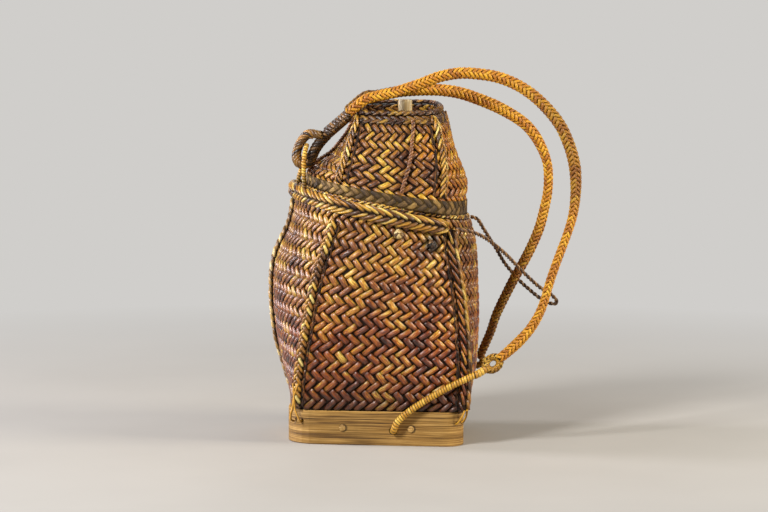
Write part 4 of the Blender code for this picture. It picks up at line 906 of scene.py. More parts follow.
def plait_tree():
    """Lays rows of short strands on a face: rows lean in turn, and each strand follows the face's own bend."""
    w = Growth(
        "plait on a face", Object=["Strand"], Int=["Columns", "Rows", "Seed"], Material=["Material"], Float=[
            "Face Length", "Face Height", "Lean", "Alternate", "Stagger", "Wrap Length", "Wrap Height", "Set Back",
            "Jitter", "Tone Turns",
        ],
    )
    index = w.node("GeometryNodeInputIndex").outputs[0]
    columns, rows, seed, turned = (w.given[label] for label in ("Columns", "Rows", "Seed", "Tone Turns"))

    def stray(reach, step):
        """How far a strand departs from the rule."""
        return w.times(w.given["Jitter"], w.chance(-reach, reach, w.plus(seed, step), index))

    row = w.maths("FLOOR", w.maths("DIVIDE", index, columns))
    column = w.less(index, w.times(row, columns))
    odd = w.maths("FLOORED_MODULO", row, 2.0)
    shift = w.times(w.given["Stagger"], w.less(odd, 0.5))
    x = w.maths("DIVIDE", w.plus(w.plus(column, 0.5), w.plus(shift, stray(0.08, 3))), columns)
    y = w.maths("DIVIDE", w.plus(row, 0.5), rows)
    flat = w.vector(w.times(x, w.given["Face Length"]), w.times(y, w.given["Face Height"]))
    points = w.node("GeometryNodePoints", {"Count": w.times(columns, rows), "Position": flat}).outputs[0]
    own = w.chance(0.0, 1.0, seed, index)
    turns = w.maths("FLOORED_MODULO", w.plus(column, row), 2.0)
    paired = w.plus(w.times(turns, 0.75), w.times(own, 0.3))
    points = w.keep(points, "tone", "FLOAT", w.plus(w.times(own, w.less(1.0, turned)), w.times(paired, turned)))
    points = w.keep(points, "spot", "FLOAT_VECTOR", w.vector(x, y))
    way = w.less(1.0, w.times(w.times(odd, 2.0), w.given["Alternate"]))
    angle = w.plus(w.times(w.given["Lean"], way), stray(0.12, 1))
    spread = w.plus(1.0, stray(0.10, 2))
    source = w.node("GeometryNodeObjectInfo", {"Object": w.given["Strand"]}).outputs["Geometry"]
    laid = w.node("GeometryNodeInstanceOnPoints", {
        "Points": points, "Instance": source, "Rotation": w.vector(z=angle), "Scale": w.vector(1.0, spread, spread),
    }).outputs[0]
    laid = w.node("GeometryNodeRealizeInstances", {"Geometry": laid}).outputs[0]

    place = w.node("GeometryNodeInputPosition").outputs[0]
    spot = w.parts(place)
    across = []
    for axis, reach in enumerate(("Length", "Height")):
        share = w.maths("DIVIDE", spot[axis], w.given["Face " + reach])
        wrap = w.given["Wrap " + reach]
        held, wrapped = (w.node("ShaderNodeClamp", {0: value, 1: 0.00001, 2: 0.99999}).outputs[0]
                         for value in (share, w.maths("FRACT", share)))
        across.append(w.plus(w.times(wrapped, wrap), w.times(held, w.less(1.0, wrap))))
    sample = w.vector(*across)
    face = w.kept("face", "FLOAT_VECTOR")
    found, out = (
        w.node("GeometryNodeSampleUVSurface", {0: w.given["Geometry"], 1: value, 2: face, 3: sample},
               data_type="FLOAT_VECTOR").outputs[0]
        for value in (place, w.kept("out", "FLOAT_VECTOR"))
    )
    lifted = w.stretched(w.between("NORMALIZE", out), w.plus(spot[2], w.given["Set Back"]))
    return w.done(w.node("GeometryNodeSetPosition", {
        "Geometry": laid, "Position": w.between("ADD", found, lifted),
    }).outputs[0])


def twist_tree():
    """Twists plies round a route: a rope, or a bundle of strands."""
    w = Growth(
        "twisted plies", Int=["Plies", "Seed"], Float=["Turn Length", "Lay Radius", "Ply Radius", "Step"],
        Material=["Material"],
    )
    line = w.node("GeometryNodeMeshToCurve", {"Mesh": w.given["Geometry"]}).outputs[0]
    line = w.node("GeometryNodeResampleCurve", {"Curve": line, "Length": w.given["Step"]}, mode="LENGTH").outputs[0]
    line, ply = w.node(
        "GeometryNodeDuplicateElements", {"Geometry": line, "Amount": w.given["Plies"]}, domain="SPLINE",
    ).outputs[:2]
    run = w.maths("DIVIDE", w.node("GeometryNodeSplineParameter").outputs["Length"], w.given["Turn Length"])
    angle = w.times(w.plus(w.maths("DIVIDE", ply, w.given["Plies"]), run), math.tau)
    normal = w.node("GeometryNodeInputNormal").outputs[0]
    side = w.between("CROSS_PRODUCT", w.node("GeometryNodeInputTangent").outputs[0], normal)
    offset = w.between("ADD", *(
        w.stretched(direction, w.times(w.given["Lay Radius"], w.maths(wave, angle)))
        for direction, wave in ((normal, "COSINE"), (side, "SINE"))
    ))
    line = w.keep(line, "tone", "FLOAT", w.chance(0.0, 1.0, w.given["Seed"], ply))
    line = w.keep(line, "run", "FLOAT", run)
    line = w.node("GeometryNodeSetPosition", {"Geometry": line, "Offset": offset}).outputs[0]
    ring = w.node("GeometryNodeCurvePrimitiveCircle", {"Resolution": 7, "Radius": w.given["Ply Radius"]}).outputs[0]
    ring = w.keep(ring, "around", "FLOAT", w.node("GeometryNodeSplineParameter").outputs["Factor"])
    body = w.node("GeometryNodeCurveToMesh", {"Curve": line, "Profile Curve": ring, "Fill Caps": True}).outputs[0]
    along = w.less(w.times(w.maths("FRACT", w.kept("run")), 2.0), 1.0)
    wave = w.maths("SINE", w.times(w.kept("around"), math.tau))
    return w.done(w.keep(body, "lay", "FLOAT_VECTOR", w.vector(along, wave)))


PLAIT = plait_tree()
TWIST = twist_tree()


def linked(name, data):
    made = bpy.data.objects.new(name, data)
    bpy.context.scene.collection.objects.link(made)
    return made


def grown(made, tree, values):
    """Runs a tree on an object and leaves a plain mesh."""
    modifier = made.modifiers.new(tree.name, "NODES")
    modifier.node_group = tree
    sockets = {item.name: item.identifier for item in tree.interface.items_tree
               if item.item_type == "SOCKET" and item.in_out == "INPUT"}
    for label, value in values.items():
        modifier[sockets[label]] = value
    bpy.context.view_layer.update()
    graph = bpy.context.evaluated_depsgraph_get()
    data = bpy.data.meshes.new_from_object(
        made.evaluated_get(graph), preserve_all_data_layers=True, depsgraph=graph)
    made.modifiers.clear()
    made.data = data
    return made


def facing_out(mesh, data):
    """Turns a mesh's faces outwards and keeps it as data."""
    bmesh.ops.recalc_face_normals(mesh, faces=mesh.faces[:])
    mesh.to_mesh(data)
    mesh.free()


def stored(data, name, vectors):
    kept = data.attributes.new(name, "FLOAT_VECTOR", "POINT")
    kept.data.foreach_set("vector", np.asarray(vectors, np.float32).ravel())


def strand_shape(length, width, height, dip, steps=5):
    """A domed strand that dips and narrows at its ends, with its own along, across and up stored as lay."""
    stations = STRAND_STATIONS if steps == 5 else [2 * k / steps - 1 for k in range(steps + 1)]
    places, lay, faces = [], [], []
    for s in stations:
        low = -dip * max(0.0, (abs(s) - STRAND_SEAT) / (1 - STRAND_SEAT)) ** 2
        half = width / 2 * (STRAND_ENDS if abs(s) > 0.95 else 1.0)
        for a, b in STRAND_SECTION:
            places.append((s * length / 2, a * half, low + b * height))
            lay.append((s, a, b))
    count = len(STRAND_SECTION)
    for ring in range(len(stations) - 1):
        for k in range(count):
            a = ring * count + k
            b = ring * count + (k + 1) % count
            faces.append((a, a + count, b + count, b))
    faces.append(tuple(range(count)))
    last = (len(stations) - 1) * count
    faces.append(tuple(last + k for k in reversed(range(count))))
    data = bpy.data.meshes.new("strand")
    data.from_pydata(places, [], faces)
    mesh = bmesh.new()
    mesh.from_mesh(data)
    facing_out(mesh, data)
    stored(data, "lay", lay)
    return linked("strand", data)


def face_mesh(name, grid, wrap):
    """A face of quads with its own map and its outward direction stored at each place."""
    rows, columns = grid.shape[:2]

    def slope(axis, closed):
        if closed:
            ring = np.delete(grid, -1, axis)
            change = np.roll(ring, -1, axis) - np.roll(ring, 1, axis)
            return np.concatenate([change, np.take(change, [0], axis)], axis)
        return np.gradient(grid, axis=axis)

    out = np.cross(slope(1, wrap[0]), slope(0, wrap[1]))
    out /= np.maximum(np.linalg.norm(out, axis=2, keepdims=True), 1e-12)
    data = bpy.data.meshes.new(name)
    faces = [
        (r * columns + c, r * columns + c + 1, (r + 1) * columns + c + 1, (r + 1) * columns + c)
        for r in range(rows - 1) for c in range(columns - 1)
    ]
    data.from_pydata(grid.reshape(-1, 3).tolist(), [], faces)
    layer = data.uv_layers.new(name="face")
    corner = np.empty(len(data.loops), np.int32)
    data.loops.foreach_get("vertex_index", corner)
    uv = np.stack([(corner % columns) / (columns - 1), (corner // columns) / (rows - 1)], 1)
    layer.data.foreach_set("uv", uv.astype(np.float32).ravel())
    stored(data, "out", out)
    return linked(name, data)


def plait(name, grid, material, strand, columns, rows, lean, wrap=OPEN, lift=0.0, jitter=0.5, tone_turns=0.0, seed=1,
          alternate=1.0, stagger=0.5):
    """Strands laid on a face; strand is length, width, height, dip and, where it winds round, its steps."""
    source = strand_shape(*strand)
    made = grown(face_mesh(name, grid, wrap), PLAIT, {
        "Strand": source, "Columns": columns, "Rows": rows, "Face Length": run_length(grid),
        "Face Height": run_length(grid, 0), "Lean": math.radians(lean), "Alternate": alternate, "Stagger": stagger,
        "Wrap Length": float(wrap[0]), "Wrap Height": float(wrap[1]), "Set Back": lift, "Jitter": jitter,
        "Tone Turns": tone_turns, "Seed": seed, "Material": material,
    })
    bpy.data.objects.remove(source)
    return made


def laid(style, grid, material, wrap=OPEN, seed=0, size=1, length=None, wide=None, **settings):
    """A plait by its row in PLAITS: size scales its strands, seed adds to its own, wide is another width."""
    (long, width, high, dip), pitch, rows, lean, lift, jitter, tone_turns, own_seed = PLAITS[style]
    columns = pitch if isinstance(pitch, int) else round((length or run_length(grid)) / (pitch * size))
    strand = (long * size, wide or width * size, high * size, dip)
    return plait(
        style, grid, material, strand, columns, rows, lean, wrap, lift, jitter, tone_turns, own_seed + seed, **settings,
    )


def wound(name, grid, material, girth, step, turns, strand, **settings):
    """One flat strand wound round a face."""
    long, wide, high, steps = strand
    size = (math.hypot(girth, step) * long, step * wide, high, 0.0, steps)
    return plait(name, grid, material, size, turns, 1, math.degrees(math.atan2(girth, step)), ALONG, **settings)


def twist(name, places, material, style, seed=0):
    """A twisted cord by its row in TWISTS."""
    plies, turn_length, lay_radius, ply_radius, step, own_seed = TWISTS[style]
    data = bpy.data.meshes.new(name)
    data.from_pydata([tuple(p) for p in places], [(k, k + 1) for k in range(len(places) - 1)], [])
    return grown(linked(name, data), TWIST, {
        "Plies": plies, "Turn Length": turn_length, "Lay Radius": lay_radius, "Ply Radius": ply_radius,
        "Step": step, "Seed": own_seed + seed, "Material": material,
    })


def skin(rings, material=painted_gap_shade, closed=False):
    """A core: a solid through rings of equal length; the ends are filled, or the last ring meets the first."""
    mesh = bmesh.new()
    rows = [[mesh.verts.new(tuple(place)) for place in ring] for ring in rings]
    count = len(rows[0])
    pairs = list(zip(rows, rows[1:]))
    if closed:
        pairs.append((rows[-1], rows[0]))
    for low, high in pairs:
        for index in range(count):
            following = (index + 1) % count
            mesh.faces.new((low[index], low[following], high[following], high[index]))
    if not closed:
        mesh.faces.new(list(reversed(rows[0])))
        mesh.faces.new(rows[-1])
    data = bpy.data.meshes.new("core")
    facing_out(mesh, data)
    data.shade_smooth()
    data.set_sharp_from_angle(angle=math.radians(35))
    data.materials.append(material)
    return linked("core", data)


def tube_core(grid):
    """The solid inside a tube's grid."""
    return skin(grid[:-1].swapaxes(0, 1))


def shell(wall, shares, count, outer, inner, material=painted_gap_shade):
    """A wall's own thickness behind its strands."""
    out_face, in_face = (wall_grid(*wall, shares, count, outset)[:, :-1] for outset in (outer, inner))
    return skin([*out_face, *in_face[::-1]], material, closed=True)


def flat_braid(frames, width, thickness, insets, across=10):
    """The face of a flat braid and its core."""
    (side, top), (core_side, core_top) = insets
    core = strip_grid(frames[::3], width - core_side, thickness - core_top, 8)
    return strip_grid(frames, width - side, thickness - top, across), skin(core.swapaxes(0, 1))


def solid_copy(node_name, material):
    """A solid's own shape, as the core of its visual piece."""
    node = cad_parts[node_name]
    data = node.data.copy()
    data.transform(node.matrix_world)
    data.materials.clear()
    data.materials.append(material)
    return linked("core", data)


def joined(name, *pieces):
    """One object from several."""
    first = pieces[0]
    with bpy.context.temp_override(
        active_object=first, object=first, selected_objects=pieces, selected_editable_objects=pieces,
    ):
        bpy.ops.object.join()
    first.name = name
    first.data.name = name
    return first


def knot(name, start, axis, profile, material, seed, columns=7, steps=32):
    """Short strands that cross on a turned knot; profile is (radius, distance along the axis) pairs."""
    axis = axis.normalized()
    side = axis.orthogonal().normalized()
    other = axis.cross(side)

    def rings(count, inset):
        return [[tuple(start + axis * (z - inset) + side * (max(r - inset, 0.0001) * math.cos(math.tau * k / count))
                       + other * (max(r - inset, 0.0001) * math.sin(math.tau * k / count)))
                 for k in range(count)] for r, z in profile]

    grid = np.array([ring + ring[:1] for ring in rings(steps, 0.0008)])
    girth = math.tau * max(r for r, z in profile)
    reach = sum(math.dist(a, b) for a, b in zip(profile, profile[1:]))
    strand = (reach * 1.05, girth / columns * 0.52, 0.0014, 0.0008)
    strands = plait(name, grid, material, strand, columns, 2, 48, AROUND, -0.0003, 1.0, seed=seed)
    return joined(name, strands, skin(rings(16, 0.0011)))


def dress(piece, body, slot, *nodes):
    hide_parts(*nodes)
    if body:
        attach(piece, body)


def blended(piece):
    """Bakes a piece's place into its mesh."""
    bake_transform(piece)


# ---------------------------------------------------------------------------------------------- camera and light

def make_stage():
    """The camera that the photograph was fitted with, a pale floor that fades into haze, and the world."""
    lens = bpy.data.cameras.new("camera")
    lens.sensor_width = SENSOR_WIDTH
    lens.lens = FOCAL_PIXELS / PHOTO_WIDTH * SENSOR_WIDTH
    lens.clip_end = 100.0
    camera = linked("camera", lens)
    camera.location = CAMERA_PLACE
    camera.rotation_euler = (math.radians(90 - CAMERA_PITCH), 0, 0)
    bpy.context.scene.camera = camera

    data = bpy.data.meshes.new("floor")
    data.from_pydata([(x * FLOOR_REACH, y * FLOOR_REACH, 0) for x, y in ((-1, -1), (1, -1), (1, 1), (-1, 1))], [],
                     [(0, 1, 2, 3)])
    stone = Finish("pale floor", 0.8, 0.2)
    place = stone.place()
    stone.finish(stone.ramp(stone.noise(place, 3.0, 4.0), ((0.3, "#a6a39e"), (0.7, "#aeaba6"))))
    seen = stone.node("ShaderNodeLightPath").outputs["Is Camera Ray"]
    away = stone.ranged(stone.between("LENGTH", place, output="Value"), *HAZE_REACH, 0.0, 1.0)
    haze = stone.node("ShaderNodeEmission", {"Color": paint(HAZE), "Strength": 1.0}).outputs[0]
    blend = stone.node("ShaderNodeMixShader", {
        0: stone.times(seen, away), 1: stone.shader.outputs[0], 2: haze,
    }).outputs[0]
    stone.tree.links.new(blend, stone.tree.nodes["Material Output"].inputs["Surface"])
    data.materials.append(stone.material)
    linked("floor", data)

    world = bpy.data.worlds.new("studio")
    world.use_nodes = True
    background = world.node_tree.nodes["Background"].inputs
    background["Color"].default_value = WORLD_COLOUR
    background["Strength"].default_value = WORLD_STRENGTH
    bpy.context.scene.world = world
    bpy.context.scene.view_settings.view_transform = "Standard"


def soft_lamp(name, place, target, size, power, colour):
    data = bpy.data.lights.new(name, "AREA")
    data.shape = "RECTANGLE"
    data.size, data.size_y = size
    data.energy = power
    data.color = colour
    lamp = linked(name, data)
    lamp.location = place
    lamp.rotation_euler = (Vector(target) - Vector(place)).to_track_quat("-Z", "Y").to_euler()


# ---------------------------------------------------------------------------------------------- straps and cords

SIDES = (
    ("front", STRAP_FRONT_ROUTE, LEADER_FRONT_ROUTE, strap_rattan),
    ("rear", STRAP_REAR_ROUTE, LEADER_REAR_ROUTE, rear_strap_rattan),
)


def make_strap(side_name, route, finish):
    """A braided strap, which runs a little past its route into the neck and the end eye."""
    places = smooth_route(route, STRAP_STEP)
    length = route_length(places)
    first, second, before, last = (Vector(route[k]) for k in (0, 1, -2, -1))
    reached = smooth_route((
        tuple(first - (second - first).normalized() * STRAP_REACH), *route,
        tuple(last + (last - before).normalized() * STRAP_REACH),
    ), STRAP_STEP)
    face, core = (
        tube_grid(reached, STRAP_RADIUS - inset, (0, -1, 0), around, turn, STRAP_WIDTHS[side_name])
        for inset, around, turn in ((0.0007, 24, math.radians(16 + 90)), (0.0011, 10, 0.0))
    )
    piece = joined("strap_braid_" + side_name, laid("strap", face, finish, ALONG, length=length), tube_core(core))
    dress(piece, None, "strap rattan", "shoulder_strap_" + side_name)
    blended(piece)


def wrapped(name, places, radius, material, pitch, seed, mark=(0, 0, 1)):
    """A cord that is bound all along by one flat strand."""
    length = route_length(places)
    inner = radius - 0.0009
    turns = round(length / pitch)
    wrap = wound(name, tube_grid(places, inner, mark, 16), material, math.tau * inner, length / turns, turns,
                 WRAP_STRAND, jitter=0.12, seed=seed)
    return joined(name, wrap, tube_core(tube_grid(places, radius - 0.0008, around=10)))


def make_leader(side_name, route):
    """A wrapped cord that is thicker where it is tied into the end eye."""
    places = smooth_route(route, CORD_STEP)
    reached = [places[0] + (places[0] - places[1]).normalized() * LEADER_REACH] + places[:6]
    piece = joined(
        "leader_wrap_" + side_name,
        wrapped("leader", places, LEADER_RADIUS + 0.0002, wrap_rattan, LEADER_PITCH, 5),
        wrapped("thick", reached, LEADER_RADIUS + 0.0008, wrap_rattan, LEADER_END_PITCH, 9),
    )
    dress(piece, "basket", "golden rattan", "leader_" + side_name)
    route_length(places)


def make_cords():
    for side_name, route, _, finish in SIDES:
        make_strap(side_name, route, finish)
    for side_name, _, route, _ in SIDES:
        make_leader(side_name, route)

    places = smooth_route(TETHER_ROUTE, CORD_STEP)
    piece = twist("tether_twist", places, tether_rattan, "tether")
    dress(piece, "basket", "dark rattan", "tether_loop")
    route_length(places)

    places = smooth_route(LINK_ROUTE, LINK_STEP)
    piece = wrapped("link_wrap", places, LINK_RADIUS, link_rattan, LINK_PITCH, 8, (0, 1, 0))
    dress(piece, "basket", "golden rattan", "strap_link")
    route_length(places)

    places = smooth_route(EYE_ROUTE, CORD_STEP)
    middle = sum(places, Vector()) / len(places)
    inner = [middle + (place - middle) * 0.80 for place in places[3:-3]]
    piece = joined("eye_strands", twist("outer", places, eye_rattan, "eye outside"),
                   twist("inner", inner, dark_rattan, "eye inside"))
    dress(piece, None, "dark rattan", "strap_eye")
    blended(piece)
    route_length(places)


def oval_grid(start, end, outset, count, around=24):
    """Places round the oval neck, outset from it, and the girth of its first ring."""
    along = (end - start).normalized()
    across = Vector((0, 1, 0))
    upward = along.cross(across).normalized()
    if upward.z < 0:
        upward = -upward
    grid = []
    for k in range(around + 1):
        angle = -math.tau * (k % around) / around
        grid.append([
            tuple(start.lerp(end, c / count) + across * ((NECK_HALF_WIDTH + outset) * math.cos(angle)) * -1
                  + upward * ((NECK_HALF_HEIGHT + outset) * math.sin(angle)))
            for c in range(count + 1)
        ])
    grid = np.array(grid)
    return grid, float(np.linalg.norm(np.diff(grid[:, 0], axis=0), axis=1).sum())


def make_neck():
    """The bound neck where both straps start, with its loose tail and its whipping."""
    start, end = (Vector(place) for place in NECK_ROUTE)
    length = (end - start).length
    grid, girth = oval_grid(start, end, -0.0006, 8)
    strands = plait("strands", grid, gold_rattan, (length, girth / NECK_STRANDS, 0.0012, 0.0), 1, NECK_STRANDS, 4,
                    ALONG, -0.0002, 0.2, seed=6, alternate=0.0, stagger=0.0)
    tails = twist("tails", smooth_route(NECK_TAIL_ROUTE, LINK_STEP), dark_rattan, "neck tail")
    piece = joined("neck_core", strands, tube_core(grid), tails)
    dress(piece, None, "dark rattan", "strap_neck")
    blended(piece)

    grid, girth = oval_grid(start.lerp(end, 0.04), end.lerp(start, 0.04), 0.0006, 12)
    piece = wound("neck_whipping", grid, dark_rattan, girth, length * 0.92 / WHIPPING_TURNS, WHIPPING_TURNS,
                  WHIPPING_STRAND, lift=-0.0003, jitter=0.1, seed=2)
    dress(piece, None, "dark rattan", "strap_whipping")
    blended(piece)


def make_end_eyes(around=12, steps=36):
    """The braided eyes that join the straps to their leaders."""
    thick = END_EYE_TUBE_RADIUS + 0.0003
    for side_name, strap, leader, _ in SIDES:
        strap_end, leader_start = Vector(strap[-1]), Vector(leader[0])
        meeting = (strap_end + leader_start) / 2
        along = (strap_end - leader_start).normalized()
        across = along.cross(Vector((0, 1, 0))).normalized()
        flat = along.cross(across)
        grid = []
        for k in range(around + 1):
            turn = -math.tau * (k % around) / around
            row = []
            for c in range(steps + 1):
                angle = math.tau * (c % steps) / steps
                out = along * (END_EYE_STRETCH[0] * math.cos(angle)) + across * (END_EYE_STRETCH[1] * math.sin(angle))
                row.append(tuple(meeting + out * (END_EYE_RADIUS + thick * math.cos(turn))
                                 + flat * (thick * math.sin(turn))))
            grid.append(row)
        grid = np.array(grid)
        core = skin(grid[:-1, :-1].swapaxes(0, 1), closed=True)
        piece = joined("end_eye_braid_" + side_name, laid("end eye", grid, eye_braid_rattan, BOTH), core)
        dress(piece, "basket", "strap rattan", "strap_end_eye_" + side_name)


# ---------------------------------------------------------------------------------------------- base

def patch_grid(place, count=30):
    """A four-sided face inside the closed outline that place(u) gives."""
    corners = [place(k) for k in range(4)]
    rows = []
    for j in range(count + 1):
        v = j / count
        row = []
        for i in range(count + 1):
            s = i / count
            row.append(tuple(
                place(s) * (1 - v) + place(3 - s) * v + place((4 - v) % 4) * (1 - s) + place(1 + v) * s
                - (corners[0] * ((1 - s) * (1 - v)) + corners[1] * (s * (1 - v)) + corners[2] * (s * v)
                   + corners[3] * ((1 - s) * v))))
        rows.append(row)
    return np.array(rows)


def hoop_section(inset, rounding):
    """The hoop's outline, inset from its outer face, with straight sides."""
    corners = [Vector(pair) * REACH for pair in HOOP_CORNER_SHARES]
    moved = []
    for index, corner in enumerate(corners):
        before = (corner - corners[index - 1]).normalized()
        after = (corners[(index + 1) % 4] - corner).normalized()
        inward = Vector((-before.y, before.x)) + Vector((-after.y, after.x))
        moved.append(corner + inward * (inset / (1 + before.dot(after))))
    return moved, (0, 0, 0, 0), rounding


def nearest_on_hoop(place):
    """The hoop's face nearest to a place, with the direction that faces out."""
    section = hoop_section(0.0, 0.12)
    outline = [outline_place(section, 4 * k / 400) for k in range(401)]
    best = min(range(400), key=lambda k: (outline[k] - place.xy).length)
    along = (outline[best + 1] - outline[best]).normalized()
    return outline[best], Vector((along.y, -along.x, 0))


def make_tail(corner, side_name, hand):
    """The end of one of a rib's strands, which crosses the other and is tucked into the hoop."""
    centre, sideways, _, outward = frame_on(body_place, corner, RIB_FOOT_SHARE)
    foot, face = nearest_on_hoop(centre + sideways * (hand * TAIL_SPREAD))
    high, aside, _, out = frame_on(body_place, corner, 0.125)
    crossing, _, _, crossed_out = frame_on(body_place, corner, 0.07)
    low = HOOP_HEIGHT - TAIL_LENGTH
    start = centre + outward * (FIT + RIB_THICKNESS) + sideways * (hand * TAIL_RADIUS * 1.6)
    lip = Vector((foot.x, foot.y, low + TAIL_RADIUS * 2)) + face * (TAIL_RADIUS + GAP)
    route = [
        high + out * (FIT + RIB_THICKNESS * 0.8) - aside * (hand * 0.0040),
        crossing + crossed_out * (FIT + RIB_THICKNESS + 0.0002 * hand),
        start, (start + lip) / 2 + face * TAIL_RADIUS, lip, Vector((foot.x, foot.y, low)) - face * TAIL_DEPTH,
    ]
    if corner in RIGHT_CORNERS:
        route = route[2:]
    name = CORNER_NAMES[corner] + "_" + side_name
    piece = twist("rib_tail_strand_" + name, smooth_route(route, 0.0012), wrap_rattan, "rib tail", corner)
    dress(piece, "basket", "golden rattan", "rib_tail_" + name)


def make_base():
    """The tails of the ribs' strands, the plaited floor and the stopper knots."""
    for corner in range(4):
        make_tail(corner, "left", -1)
        make_tail(corner, "right", 1)

    section = hoop_section(HOOP_THICKNESS + 0.0012, 0.19)
    upper, lower = (patch_grid(lambda u: Vector((*outline_place(section, u), height)))
                    for height in (FLOOR_LOW + FLOOR_WALL, FLOOR_LOW))
    piece = joined("floor_plait", solid_copy("woven_floor", inside), laid("floor", upper, inner_rattan),
                   laid("floor", lower[::-1].copy(), inner_rattan, seed=1))
    dress(piece, "basket", "dark rattan", "woven_floor")

    for side_name, _, route, _ in SIDES:
        way = (Vector(route[-1]) - Vector(route[-2])).normalized()
        profile = [(STOPPER_RADIUS * a, STOPPER_RADIUS * b) for a, b in STOPPER_SHARES]
        piece = knot("stopper_strands_" + side_name, Vector(route[-1]), way, profile, wrap_rattan, 95)
        dress(piece, "basket", "golden rattan", "stopper_knot_" + side_name)


# ---------------------------------------------------------------------------------------------- body

def woven(style, wall, shares, count, strand_share, material):
    """The weave of a wall; strand_share is a strand's width as a share of a column's room."""
    grid = wall_grid(*wall, shares, count)
    room = run_length(grid) / PLAITS[style][1]
    return laid(style, grid, material, AROUND, wide=room * strand_share)


def groove_shadow_strands(place, u, low, high, width, seed):
    """Painted shadow: dark strands laid in the groove beside a rib, for the shade there."""
    return laid("groove", strip_grid(wall_frames(place, u, low, high), width, 0.0008, 6, 0.0), shadow_rattan, seed=seed)


def top_rows(wall, count, rows):
    """Rows of places round a wall's top, each with its outset and rise; the last place meets the first."""
    us = even_us(wall[0], 1, count)
    return np.array([[tuple(wall_place(*wall, u, 1.0, *row)) for u in us] for row in rows])


def make_body_rib(corner):
    """A corner rib: two wide leaning strands over a narrow row on the right, a plain braid on the left."""
    u = corner + RIB_SHIFTS[corner]
    width = RIB_WIDTHS[corner] + abs(RIB_SHIFTS[corner]) * REACH
    reach = (RIB_FOOT_SHARE, RIB_REACH_SHARES[corner])
    grid, core = flat_braid(wall_frames(body_place, u, *reach), width, RIB_THICKNESS, RIB_INSETS)
    if corner in RIGHT_CORNERS:
        length = run_length(grid)
        strands = joined(
            "rib", laid("long rib", grid[:7], gold_rattan, seed=corner, length=length, alternate=0.0),
            laid("short rib", grid[5:], body_rattan, seed=corner, length=length),
        )
    else:
        finish = pale_rib_rattan if RIB_SHIFTS[corner] else rib_rattan
        strands = laid("left rib", grid, finish, seed=corner, size=1 + RIB_SHIFTS[corner] * 5)
    hand = 1 - 2 * (corner % 2)
    # Painted shadow: dark strands in the groove beside the rib
    beside = u + hand * (width / 2 + 0.0021) / 0.165
    groove = groove_shadow_strands(body_place, beside, *reach, GROOVE_SHADOW_WIDTH, corner)
    piece = joined("rib_plait_" + CORNER_NAMES[corner], strands, core, groove)
    dress(piece, "basket", "golden rattan", "body_rib_" + CORNER_NAMES[corner])


def make_rim():
    """The thick plait round the neck, from one right rib round the left to the other, and the plait on the edge."""
    corners = station(BODY_SHARES, RIB_TOP_SHARES[1])[0]
    clear = (RIB_WIDTHS[1] / 2 + FIT) / (corners[1] - corners[0]).length
    frames = []
    for k in range(121):
        u = 2 + clear + (3 - 2 * clear) * k / 120
        centre, _, upward, outward = frame_on(body_place, u, share_at(body_place, u, rim_level))
        centre += upward * ((rim_level(centre.x) - centre.z) / upward.z)
        frames.append((centre, upward, outward))
    grid, core = flat_braid(frames, RIM_BRAID_HEIGHT, RIM_BRAID_THICKNESS, RIM_INSETS, 12)
    dress(joined("rim_plait", laid("rim", grid, gold_rattan), core), "basket", "golden rattan", "rim_braid")

    back = -EDGE_BRAID_SET_BACK - EDGE_CORE_INSET
    grid = top_rows(BODY, 200, [(outset - EDGE_BRAID_SET_BACK, GAP + rise) for outset, rise in EDGE_FACE])
    core = top_rows(BODY, 96, (
        (back, GAP), (back, GAP + EDGE_BRAID_HEIGHT - 0.0006), (-WALL, GAP + EDGE_BRAID_HEIGHT - 0.0004), (-WALL, GAP),
    ))
    piece = joined("edge_plait", laid("edge", grid, gold_rattan, AROUND), skin(core[:, :-1], closed=True))
    dress(piece, "basket", "golden rattan", "edge_braid")


def collar_outline(count):
    """The collar's outline, which stays inside the lid's lower rows."""
    insides = [
        np.array([tuple(lid_place(u, row / 10, -LID_WALL - COLLAR_FIT))[:2] for u in even_us(LID_SHARES, 0.1, 96)])
        for row in range(COLLAR_LID_ROWS)
    ]
    outline = []
    for u in even_us(BODY_SHARES, 1, count):
        flat = Vector(body_place(u, 1.0, -WALL - FIT)[:2])
        way = flat.normalized()
        reach = flat.length
        for ring in insides:
            start, along = ring[:-1], np.diff(ring, axis=0)
            across = way.x * along[:, 1] - way.y * along[:, 0]
            share = (start[:, 0] * way.y - start[:, 1] * way.x) / across
            distance = (start[:, 0] * along[:, 1] - start[:, 1] * along[:, 0]) / across
            hit = distance[(share >= -0.01) & (share <= 1.01) & (distance > 0)]
            reach = min(reach, float(hit.max()))
        outline.append(way * reach)
    return outline


def make_body():
    shares = [k / 44 + 0.05 * k / 44 * (1 - k / 44) for k in range(45)]
    weave = woven("body weave", BODY, shares, 220, BODY_STRAND_SHARE, body_rattan)
    piece = joined("plaited_body", weave, shell(BODY, even(22), 96, -0.0021, -WALL))
    dress(piece, "basket", "dark rattan", "body_wall")
    for corner in range(4):
        make_body_rib(corner)
    make_rim()

    for name, radius, u, drop, finish, slot in zip(
        ("light", "dark"), ROSETTE_RADII, ROSETTE_SIDE_SHARES, ROSETTE_DROPS, (pale_rattan, dark_knot_rattan),
        ("bamboo", "dark rattan"),
    ):
        share = share_at(body_place, u, lambda x: rim_level(x) - RIM_BRAID_HEIGHT / 2 - drop)
        centre, _, _, outward = frame_on(body_place, u, share)
        profile = [(radius * part, rise) for part, rise in ROSETTE_PROFILE]
        dress(knot("rosette_strands_" + name, centre, outward, profile, finish, 55), "basket", slot,
              "rosette_knot_" + name)

    collar = collar_outline(160)
    grid = np.array([[(flat.x, flat.y, mouth_height(flat.x) + rise) for flat in collar]
                     for rise in even(4, 0, COLLAR_RISE)])
    piece = joined("collar_plait", laid("collar", grid, inner_rattan, AROUND), solid_copy("mouth_collar", inside))
    dress(piece, "basket", "dark rattan", "mouth_collar")


# ---------------------------------------------------------------------------------------------- lid

